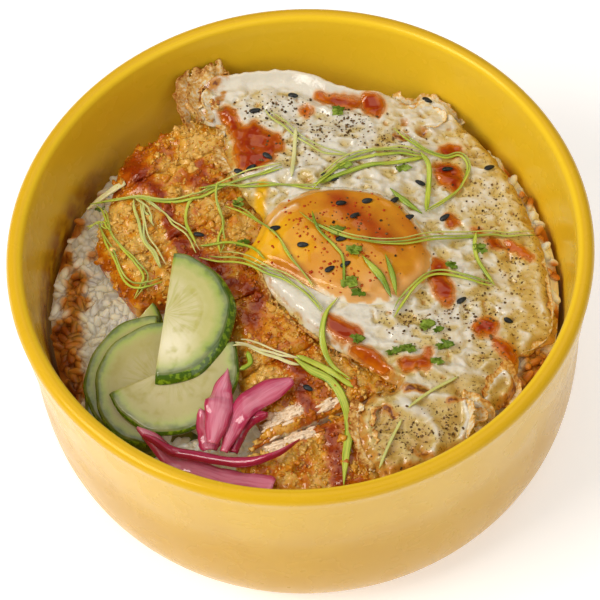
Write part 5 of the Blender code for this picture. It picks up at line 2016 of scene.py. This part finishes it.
@dataclass
class Ribbon:
    """A strip that lies over other food. Tip and tail are the share of its length that
    narrows at either end, and the share of its width that is left there."""

    name: str
    width: float
    path: tuple
    thickness: float = 0.5
    arch: float = 0.0
    pale: float = 0.0
    skin: float = 0.5
    tip: tuple[float, float] = (0.14, 0.15)
    tail: tuple[float, float] = (0.14, 0.15)
    strands: int = 1
    dark: float = 0.0

    def laid(self, ground: Ground, slope: float, spacing: float = 0.9, gap: float = 0.4) -> Array:
        """The path over what lies below.

        Args:
            ground: what it lies on.
            slope: the steepest that it can go.
            spacing: distance between the path's points.
            gap: distance between its underside and what is below.

        Returns:
            Points in space.
        """
        line = curve(self.path, spacing, False)
        across = ways(line[:, :2], False)[1] * self.width / 2
        heights = np.max([ground.heights(line[:, :2] + s * across) for s in (-1, -0.5, 0, 0.5, 1)], axis=0)
        level = heights + (gap + self.thickness / 2)
        if line.shape[1] == 3:
            level = np.maximum(level, line[:, 2])
        step = np.hypot(*np.diff(line[:, :2], axis=0).T)
        for k in range(1, len(level)):
            level[k] = max(level[k], level[k - 1] - slope * step[k - 1])
        for k in range(len(level) - 2, -1, -1):
            level[k] = max(level[k], level[k + 1] - slope * step[k])
        reach = max(1, round(2.4 / spacing))
        padded = np.pad(level, reach, mode="edge")
        smooth = np.convolve(padded, np.ones(2 * reach + 1) / (2 * reach + 1), "valid")
        return np.column_stack((line[:, :2], np.maximum(smooth, level - 0.25)))

    def mesh(self, path: Array, columns: int, seed: float, twist: float) -> Piece:
        """The strip along a path, or the finer strands that it is split in.

        Args:
            path: points in space.
            columns: corners across each face.
            seed: picks its unevenness.
            twist: how far it rolls from side to side.

        Returns:
            The strip.
        """
        parts = []
        share = np.linspace(0, 3, len(path))
        right = ways(path[:, :2], False)[1]
        for k in range(self.strands):
            own, finer = path, self
            if self.strands > 1:
                place = k - (self.strands - 1) / 2
                wave = lumps(np.column_stack((share, share * 0)), 1.0, seed + 4.7 * k)
                sway = 0.45 * self.width * place + 1.6 * wave
                own = path + np.column_stack((-right * sway[:, None], np.full(len(path), 0.3 * k)))
                own = own[round(0.06 * k * len(path)):]
                finer = replace(self, width=self.width * (0.56, 0.4, 0.3)[k], thickness=0.36,
                                pale=min(1.0, self.pale + 0.14 * k), dark=self.dark + (0.0, 0.22, -0.1)[k])
            parts.append(finer.strip(own, columns, seed + k, twist))
        starts = np.cumsum([0] + [len(corners) for corners, _, _ in parts])
        faces = [tuple(i + start for i in face)
                 for start, (_, strip, _) in zip(starts.tolist(), parts) for face in strip]
        marks = {mark: np.concatenate([part[2][mark] for part in parts]) for mark in parts[0][2]}
        return make_object("cut_" + self.name, np.vstack([corners for corners, _, _ in parts]), faces, marks)

    def strip(self, path: Array, columns: int, seed: float, twist: float) -> tuple[Array, list, Marks]:
        """A closed strip along a path, arched across and a little twisted.

        Args:
            path: points in space.
            columns: corners across each face.
            seed: picks its unevenness.
            twist: how far it rolls from side to side.

        Returns:
            The corners, the faces and the marks.
        """
        rows = len(path)
        share = np.linspace(0, 1, rows)
        ahead = np.gradient(path, axis=0)
        ahead /= np.linalg.norm(ahead, axis=1)[:, None]
        across = np.column_stack((-ahead[:, 1], ahead[:, 0], np.zeros(rows)))
        across /= np.maximum(np.linalg.norm(across, axis=1), 1e-9)[:, None]
        up = np.cross(ahead, across)
        roll = twist * lumps(np.column_stack((share * 5, np.zeros(rows))), 1.0, seed)
        side = across * np.cos(roll)[:, None] + up * np.sin(roll)[:, None]
        lift = up * np.cos(roll)[:, None] - across * np.sin(roll)[:, None]
        half = np.full(rows, self.width / 2)
        for part, (length, least) in ((share, self.tip), (1 - share, self.tail)):
            half *= least + (1 - least) * np.sin(np.clip(part / length, 0, 1) * math.pi / 2)
        half *= 1 + 0.1 * lumps(np.column_stack((share * 7, np.ones(rows))), 1.0, seed)
        spread = np.linspace(-1, 1, columns)
        crown = self.arch * (1 - spread ** 2)
        body = self.thickness * (0.3 + 0.7 * np.sqrt(1 - spread ** 4))
        way_round = [(k, 1) for k in range(columns)] + [(k, -1) for k in range(columns - 1, -1, -1)]
        rings = [path + side * (half * spread[k])[:, None] + lift * (crown[k] + face * body[k] / 2)
                 for k, face in way_round]
        round_count = 2 * columns
        corners = np.stack(rings, axis=1).reshape(-1, 3)
        grid = np.arange(len(corners)).reshape(rows, round_count)
        after = np.roll(grid, -1, axis=1)
        faces = np.stack((grid[:-1], grid[1:], after[1:], after[:-1]), -1).reshape(-1, 4).tolist()
        faces += [tuple(grid[0]), tuple(reversed(grid[-1]))]
        wide = np.concatenate((spread, spread[::-1]))
        length = float(np.linalg.norm(np.diff(path, axis=0), axis=1).sum())
        shades = lumps(np.column_stack((share * length / 9, share * 0)), 1.0, seed)
        marks = {
            "across": np.tile(wide, rows),
            "along": np.repeat(share * length / 45 + seed, round_count),
            "pale": np.full(rows * round_count, self.pale),
            "dark": np.repeat(self.dark + 0.45 * shades, round_count),
            "skin": np.tile(self.skin - 0.14 + 0.62 * wide ** 2, rows),
        }
        return corners, [tuple(f)[::-1] for f in faces], marks


def strew(ribbons: Sequence[Ribbon], ground: Ground, finish: Finish, slot: str, columns: int, slope: float,
          seeds: tuple[float, float], twist: float) -> Pieces:
    """Lays each strip over the food and the strips before it.

    Args:
        ribbons: the strips.
        ground: what lies below; each strip is added to it.
        finish: what they are made of.
        slot: the record's material slot.
        columns: corners across each face.
        slope: the steepest that they can go.
        seeds: step and start of the numbers that pick their unevenness.
        twist: how far they roll from side to side.

    Returns:
        The pieces.
    """
    material, result = finish.material(), []
    for number, ribbon in enumerate(ribbons):
        piece = ribbon.mesh(ribbon.laid(ground, slope), columns, number * seeds[0] + seeds[1], twist)
        ground.add(piece)
        result.append(dress(piece, material, slot, ribbon.name))
    return result


@dataclass
class Onions:
    """Pickled red onion: petals and bands over the rice and the cutlet at the front left."""

    pieces: tuple = (
        Ribbon("onion_rim", 6.6, ((-49, -45, 49), (-38, -54, 51.5), (-25.5, -61.5, 54), (-12.5, -67, 58.5)),
               0.8, 0.7, skin=0.15, tip=(0.3, 0.15), tail=(0.05, 0.7)),
        Ribbon("onion_long", 3.0, (
            (-47.5, -48.5, 52), (-36, -53, 55), (-22, -58.5, 58), (-12, -59, 61), (-4.5, -55, 61)),
               1.2, 0.8, skin=0.8, tip=(0.2, 0.4), tail=(0.45, 0.1)),
        Ribbon("onion_small", 6.3, ((-31.3, -42, 53.5), (-29.5, -47, 54), (-29.5, -52.5, 55)), 0.8, 1.0,
               skin=0.2, tip=(0.45, 0.2), tail=(0.2, 0.6)),
        Ribbon("onion_inner", 3.8, ((-12.5, -46, 61), (-17.5, -46.5, 60), (-21.5, -50.5, 57), (-23, -55, 57)),
               0.9, 0.9, skin=0.95, tip=(0.2, 0.3), tail=(0.2, 0.6)),
        Ribbon("onion_band", 7.6, (
            (-25.5, -55.5, 58), (-22.5, -49, 60), (-18.5, -43.5, 61), (-12.5, -39.5, 62), (-5, -36.5, 62)),
               0.6, 0.5, skin=0.3, tip=(0.7, 0.3), tail=(0.22, 0.3)),
        Ribbon("onion_petal", 7.8, ((-22.7, -31, 61), (-25, -38, 60), (-26.5, -46, 60), (-28.5, -53.5, 59)),
               0.6, 0.8, skin=0.16, tip=(0.5, 0.04), tail=(0.5, 0.4)),
    )

    def build(self, ground: Ground) -> Pieces:
        """Lays the pieces, thick and springy, in steep curves."""
        return strew(self.pieces, ground, ONION, "pickled_onion", 13, 1.2, (1.7, 0.5), 0.5)


@dataclass
class Scallions:
    """Scallion cut in fine shreds and strewn over everything."""

    shreds: tuple = (
        Ribbon("shred_left_rim", 1.2, (
            (-58.5, 34), (-56, 31), (-54, 21), (-51, 15.5), (-47.5, 9), (-44.5, 3), (-48, -3)), strands=2),
        Ribbon("shred_left_low", 1.2, (
            (-58, 27), (-55.5, 18), (-53, 12), (-50, 3.5), (-46, 0.5), (-40, 2)), strands=2),
        Ribbon("shred_left_cross", 1.1, ((-54.5, 20), (-57.5, 24.5), (-61, 24)), strands=2),
        Ribbon("shred_left_fork", 1.6, (
            (-46, 31), (-45.5, 25), (-44, 18), (-41.5, 11.5), (-39.5, 6)), pale=0.35, strands=3),
        Ribbon("shred_left_short", 1.3, ((-46, 31), (-42.5, 25), (-41.5, 20.5)), pale=0.4, strands=2),
        Ribbon("shred_left_slope", 1.0, (
            (-45, 30.5), (-39.5, 25), (-35.5, 20.5), (-32, 17), (-29, 9.5)), pale=0.4, strands=2),
        Ribbon("shred_left_loop", 0.9, ((-28.5, 29), (-31, 26.5), (-32, 20), (-29.5, 12))),
        Ribbon("shred_left_span", 1.6, (
            (-60, 34), (-52, 32), (-46, 31.5), (-39.5, 29), (-29, 29), (-23, 31), (-12.5, 31.5),
            (-3, 32.5)), strands=3),
        Ribbon("shred_mid_span", 1.2, (
            (-27.5, 31), (-21, 30.5), (-13, 28), (-2.5, 26.5), (7.5, 24.5)), strands=2),
        Ribbon("shred_mid_drop", 1.3, ((-21, 31), (-22, 26), (-21, 20.5), (-22, 14.5), (-23, 8)), strands=2),
        Ribbon("shred_mid_slope", 1.1, (
            (-20.5, 25), (-15, 20.5), (-9.5, 12), (-5.5, 6), (-2.5, 0.5), (3, -9)), strands=2),
        Ribbon("shred_low_span", 1.3, (
            (-28.5, 8.5), (-20, 5.5), (-14.5, 2), (-9, -2), (-3.5, -6), (5, -16.5)), strands=3),
        Ribbon("shred_low_fork", 0.8, ((-28.5, 11.5), (-20.5, 10.5), (-14, 6), (-10, 1)), dark=0.2),
        Ribbon("shred_back_slope", 1.1, (
            (-6.5, 54.5), (-3, 49.5), (3, 42.5), (10, 37.5), (17, 36)), pale=0.3, strands=2),
        Ribbon("shred_back_pale", 1.2, ((2, 45.5), (1, 39), (-0.5, 29)), pale=0.8),
        Ribbon("shred_egg_under", 1.3, ((5.5, 25.5), (12, 28.5), (21, 32), (31.5, 33.5), (39.5, 36))),
        Ribbon("shred_egg_arch", 1.7, (
            (4.5, 24.5), (8, 28), (13.5, 32.5), (21.5, 36), (31, 37.5), (37.5, 35.5)), strands=3),
        Ribbon("shred_egg_down", 1.5, ((37.5, 36), (39.5, 32.5), (39, 26.5), (37.3, 16.5))),
        Ribbon("shred_egg_loop", 1.3, (
            (31, 46.5), (38, 39), (44.5, 36), (49, 37), (51, 33.5), (49, 27), (45.5, 22.5),
            (37, 16)), strands=2),
        Ribbon("shred_egg_span", 1.2, (
            (1, 15), (5, 10), (11.5, 5.5), (18.5, 3.5), (28.5, 3.5), (40.5, 7.5), (54, 10.5), (61, 10),
            (68, 10.5)), strands=3),
        Ribbon("shred_egg_drop", 1.1, ((51, 9.5), (50, 4.5), (51, -0.5), (54.5, -7.5))),
        Ribbon("shred_egg_bow", 1.5, (
            (24.5, -19.5), (27, -15), (31, -10), (36, -5.5), (41, -4), (47.5, -5), (54, -7.5)), strands=2),
        Ribbon("shred_egg_leaf", 2.2, ((17.5, -1.5), (20, -5), (22.5, -8.5), (24.5, -14)),
               tip=(0.5, 0.1), tail=(0.5, 0.1), dark=0.3),
        Ribbon("shred_egg_tip", 1.6, ((24, -1), (25.5, -7.5), (26, -13.5)),
               tip=(0.5, 0.1), tail=(0.5, 0.1), dark=0.3),
        Ribbon("shred_yolk_leaf", 1.8, ((27.5, 24), (30.5, 20.5), (36, 15.5)),
               tip=(0.5, 0.1), tail=(0.5, 0.1), dark=0.4),
        Ribbon("shred_yolk_thin", 0.8, ((4.5, 14.5), (5.5, 8.5), (10, 2), (12, -2), (11.5, -11)), dark=0.3),
        Ribbon("shred_front_pale", 1.9, ((-21, -23.5), (-16.5, -23), (-10.5, -25.5), (-2, -29.5)),
               pale=0.85, strands=3),
        Ribbon("shred_front_main", 2.4, (
            (-4, -29), (0.5, -32.5), (5.5, -36), (8.5, -42), (9.5, -51), (8, -58.5), (6.5, -68)),
               tail=(0.3, 0.1)),
        Ribbon("shred_front_edge", 1.8, ((-3.5, -28.5), (3, -31.5), (9.5, -36.5), (11.5, -38.5))),
        Ribbon("shred_front_branch", 1.8, ((9.5, -12.5), (6, -17), (4.2, -24.5), (6, -31.5), (11, -36.5)),
               tip=(0.5, 0.1), tail=(0.5, 0.1)),
        Ribbon("shred_front_hook", 1.5, ((-17, -24.5), (-16.5, -28.5), (-19.5, -31)), dark=0.3),
        Ribbon("shred_drape_high", 0.9, ((41, -38), (35.5, -41), (30, -45), (26, -48.5)), pale=0.5),
        Ribbon("shred_drape_low", 0.9, ((24, -51), (21, -56.5), (16.5, -65.5)), pale=0.5),
        Ribbon("shred_rear_leaf", 3.0, ((-59, 36.5), (-56.8, 40.5), (-53.3, 45.5)), dark=0.8),
        Ribbon("shred_rear_pale", 1.9, ((-61.3, 33), (-57.5, 35), (-53, 36.8), (-49.3, 38)), 0.7, pale=1.0,
               tip=(0.6, 0.25), tail=(0.1, 0.7)),
    )

    def build(self, ground: Ground) -> Pieces:
        """Lays the shreds, fine and stiff, so that they bridge dips."""
        return strew(self.shreds, ground, SCALLION, "scallion", 7, 0.45, (2.3, 1.0), 0.6)


# Small garnishes


class Sprinkle(Enum):
    """What is strewn in flecks: pepper over the whole egg, chilli over the yolk."""

    PEPPER = "cracked_pepper"
    CHILLI = "chilli_flakes"


@dataclass
class Garnishes:
    """Black sesame, chopped parsley, cracked pepper and chilli flakes."""

    plenty: float = 1.9
    lowest: float = 46.0
    sesame: Spots = (
        (2, 59), (-9.5, 54.5), (-7, 37.5), (-15.5, 33.5), (-12, 34), (9.5, 29.5), (11.5, 28), (41.5, 56.5),
        (36.5, 27), (45, 32), (57.5, 33.5), (42.5, 15), (44.5, -13), (57, -18.5), (-6.5, 10.5), (1, 4),
        (13, 17), (16.5, 12.5), (20.5, 18), (28.5, 20), (32, 13.5), (12, 4.5), (8, -4.5), (12.5, -3.5),
        (-28.5, 15.5), (-1, -37.5),
    )
    parsley: Spots = (
        (15, 51.5), (15, 33), (32, 31), (36, -23), (38, -27), (35.5, -33), (24, -30), (28, -28.5),
        (14, -25.5), (51.5, 4.5), (43.5, -2), (-17, 25), (-16.5, 10.5), (34, -21), (16.5, -11.5),
        (13.5, -9.5), (15.5, 1), (10, 6.5),
    )
    pepper: tuple = (
        ((-4, 55), (13, 6), 60), ((14, 47), (14, 7), 85), ((30, 40), (9, 7), 45), ((56, 22), (9, 12), 55),
        ((58, -2), (9, 9), 35), ((46, -16), (12, 7), 60), ((30, -21), (12, 6), 55), ((24, -56), (9, 8), 40),
        ((36, -53), (6, 6), 30), ((20, 8), (18, 14), 45), ((50, -28), (9, 8), 30), ((0, 40), (10, 8), 35),
    )
    chilli: tuple = (((4, 8), (13, 11), 46), ((14, -4), (11, 7), 27), ((22, 16), (9, 6), 7))

    def seeds(self, ground: Ground) -> Piece:
        """Lays each sesame seed on what is under it.

        Args:
            ground: everything that seeds can lie on.

        Returns:
            One mesh of all the seeds.
        """
        draw = random.Random(3)
        shape = Shape.grain(3.3, 2.0, 1.25, 2.2, rings=9, sides=12, narrow=0.35)
        turns, centres = [], []
        for x, y in self.sesame:
            turns.append(turn(draw.uniform(-0.7, 0.7), draw.gauss(0, 0.12), draw.gauss(0, 0.15)))
            centres.append((x, y, ground.height(x, y) + 0.42))
        marks = {"tone": np.array([draw.uniform(0.1, 0.7) for _ in centres])}
        piece = shape.scatter("sesame_seeds", turns, centres, marks)
        return dress(piece, SESAME.material(), "egg_white")

    def leaves(self, ground: Ground) -> Piece:
        """Lays one or two curled, notched leaves at each parsley spot.

        Args:
            ground: everything that leaves can lie on.

        Returns:
            One mesh of all the leaves.
        """
        draw = random.Random(12)
        count, rings = 18, 3
        corners, faces, tones = [], [], []
        for x, y in self.parsley:
            for _ in range(draw.choice((1, 2, 2))):
                size = draw.uniform(1.9, 3.2)
                start = draw.uniform(0, 6.3)
                place = (x + draw.uniform(-0.8, 0.8), y + draw.uniform(-0.8, 0.8))
                level = ground.height(*place) + 0.35
                base = len(corners)
                corners.append((*place, level + 0.25))
                for ring in range(1, rings + 1):
                    for k in range(count):
                        a = FULL_TURN * k / count
                        lobes = 0.62 + 0.26 * math.cos(3 * a + start) + 0.2 * math.cos(7 * a + 2 * start)
                        r = size * lobes * ring / rings
                        curl = (ring / rings) ** 2 * (0.5 + 0.9 * math.sin(2 * a + start))
                        corners.append((place[0] + r * math.cos(a), place[1] + 0.75 * r * math.sin(a),
                                        level + curl))
                for k in range(count):
                    j = (k + 1) % count
                    faces.append((base, base + 1 + k, base + 1 + j))
                    for ring in range(rings - 1):
                        a, b = base + 1 + ring * count, base + 1 + (ring + 1) * count
                        faces.append((a + k, b + k, b + j, a + j))
                tones += [draw.random()] * (1 + rings * count)
        piece = make_object("parsley_leaves", np.array(corners), faces, {"tone": np.array(tones)})
        thicken(piece, 0.25)
        return dress(piece, PARSLEY.material(), "scallion")

    def flecks(self, kind: Sprinkle, ground: Ground) -> Piece:
        """Strews flecks over their regions, more in the middle.

        Args:
            kind: what is strewn.
            ground: the egg.

        Returns:
            One mesh of all the flecks.
        """
        ground_pepper = kind is Sprinkle.PEPPER
        draw = random.Random(21 if ground_pepper else 22)
        regions, finish = (self.pepper, PEPPER) if ground_pepper else (self.chilli, CHILLI)
        turns, centres = [], []
        for (x, y), (wide, deep), count in regions:
            for _ in range(round(count * self.plenty)):
                px, py = x + draw.gauss(0, 0.5) * wide, y + draw.gauss(0, 0.5) * deep
                z = ground.height(px, py)
                if z < self.lowest:
                    continue
                size = 0.24 + 0.62 * draw.random() ** 2.5 if ground_pepper else draw.uniform(0.35, 0.9)
                stretch = (size * draw.uniform(1.0, 1.8), size, 0.45 * size)
                turns.append(turn(draw.uniform(0, 6.3), 0, draw.gauss(0, 0.2), stretch))
                centres.append((px, py, z + 0.08))
        marks = {"tone": np.array([draw.random() for _ in centres])}
        piece = Shape.shard(5, 0.7).scatter(kind.value, turns, centres, marks)
        return dress(piece, finish.material(), "egg_white")


# Studio


@dataclass
class Studio:
    """A pale floor, soft light from the left and front, and a camera as in the photograph."""

    elevation: float = 58.236
    roll: float = -4.851
    distance: float = 800.0
    focal_px: float = 2720.0
    frame_px: float = 600.0
    target: tuple[float, float, float] = (-1.1, 6.25, 35.0)
    room: float = 0.2
    floor_glow: float = 0.45
    floor_reach: float = 3.0
    lamp_colour: str = "FFF8F0"

    def camera(self) -> None:
        """Sets the camera at the photograph's angle."""
        tilt, roll = math.radians(self.elevation), math.radians(self.roll)
        ahead = Vector((0, math.cos(tilt), -math.sin(tilt)))
        right = Vector((1, 0, 0))
        up = right.cross(ahead)
        across = right * math.cos(roll) + up * math.sin(roll)
        over = -right * math.sin(roll) + up * math.cos(roll)
        place = (Vector(self.target) - ahead * self.distance) * MM
        lens = bpy.data.cameras.new("camera")
        lens.sensor_width = 36.0
        lens.lens = 36.0 * self.focal_px / self.frame_px
        lens.clip_start = 0.01
        camera = put("camera", lens)
        camera.matrix_world = Matrix((
            (across.x, over.x, -ahead.x, place.x), (across.y, over.y, -ahead.y, place.y),
            (across.z, over.z, -ahead.z, place.z), (0, 0, 0, 1)))
        bpy.context.scene.camera = camera

    def lamp(self, name: str, place: tuple[float, float, float], size: float, watts: float) -> None:
        """Hangs a square soft light that faces the bowl.

        Args:
            name: the light's name.
            place: where it is, in metres.
            size: its side, in metres.
            watts: its power.
        """
        light = bpy.data.lights.new(name, "AREA")
        light.shape = "SQUARE"
        light.size = size
        light.energy = watts
        light.color = linear(self.lamp_colour)[:3]
        lamp = put(name, light)
        lamp.location = place
        lamp.rotation_euler = (Vector((0, 0, 0.04)) - Vector(place)).to_track_quat("-Z", "Y").to_euler()

    def build(self) -> None:
        """Makes the floor, the light and the camera."""
        mesh = bpy.data.meshes.new("floor")
        reach = self.floor_reach
        mesh.from_pydata([(-reach, -reach, 0), (reach, -reach, 0), (reach, reach, 0), (-reach, reach, 0)], [],
                         [(0, 1, 2, 3)])
        floor = put("floor", mesh)
        floor.location.z = -0.0004
        paper = Paint("matt_white_paper")
        paper.fix(Base_Color=linear("F4F4F4"), Roughness=0.9, Emission_Color=linear("F6FAFF"),
                  Emission_Strength=self.floor_glow)
        mesh.materials.append(paper.material)
        world = bpy.data.worlds.new("soft_room")
        world.use_nodes = True
        sky = world.node_tree.nodes["Background"]
        sky.inputs["Color"].default_value = linear("FFF0DC")
        sky.inputs["Strength"].default_value = self.room
        bpy.context.scene.world = world
        self.lamp("window", (-0.72, -0.25, 0.88), 0.6, 8.9)
        self.lamp("fill", (0.5, -0.9, 0.85), 0.9, 3.1)
        self.lamp("ceiling", (0.1, 0.3, 1.4), 1.2, 5.6)
        view = bpy.context.scene.view_settings
        view.view_transform = "Standard"
        view.look = "None"
        self.camera()


def main() -> None:
    """Builds the bowl and its food in the order that they are served."""
    logging.basicConfig(level=logging.INFO, format="%(name)s %(message)s")
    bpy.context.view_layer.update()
    bowl = Bowl()
    bowl.build()
    rice = RiceBed()
    core = rice.core(bowl)
    cutlet = Cutlet()
    strips = cutlet.build()
    egg = FriedEgg(cutlet)
    sauce = SaucePools()
    white = egg.white(sauce.outlines())
    yolk = egg.yolk()
    egg.lace(Ground(white, *strips))
    egg.frill(Ground(white, *strips))
    pools = sauce.build(Ground(white))
    slices = Cucumbers().build()
    ground = Ground(core, white, yolk, *strips, *slices)
    onions = Onions().build(ground)
    Scallions().build(ground)
    rice.grains(Ground(white, *strips, *slices, *onions))
    cutlet.crumbs(Ground(*strips), Ground(white, *slices, *onions))
    cutlet.fibres(Ground(*strips))
    garnishes = Garnishes()
    lying = Ground(white, yolk, *strips, *pools)
    garnishes.seeds(lying)
    garnishes.leaves(lying)
    for kind in Sprinkle:
        garnishes.flecks(kind, Ground(white, yolk, *pools))
    Studio().build()


if __name__ == "__main__":
    main()
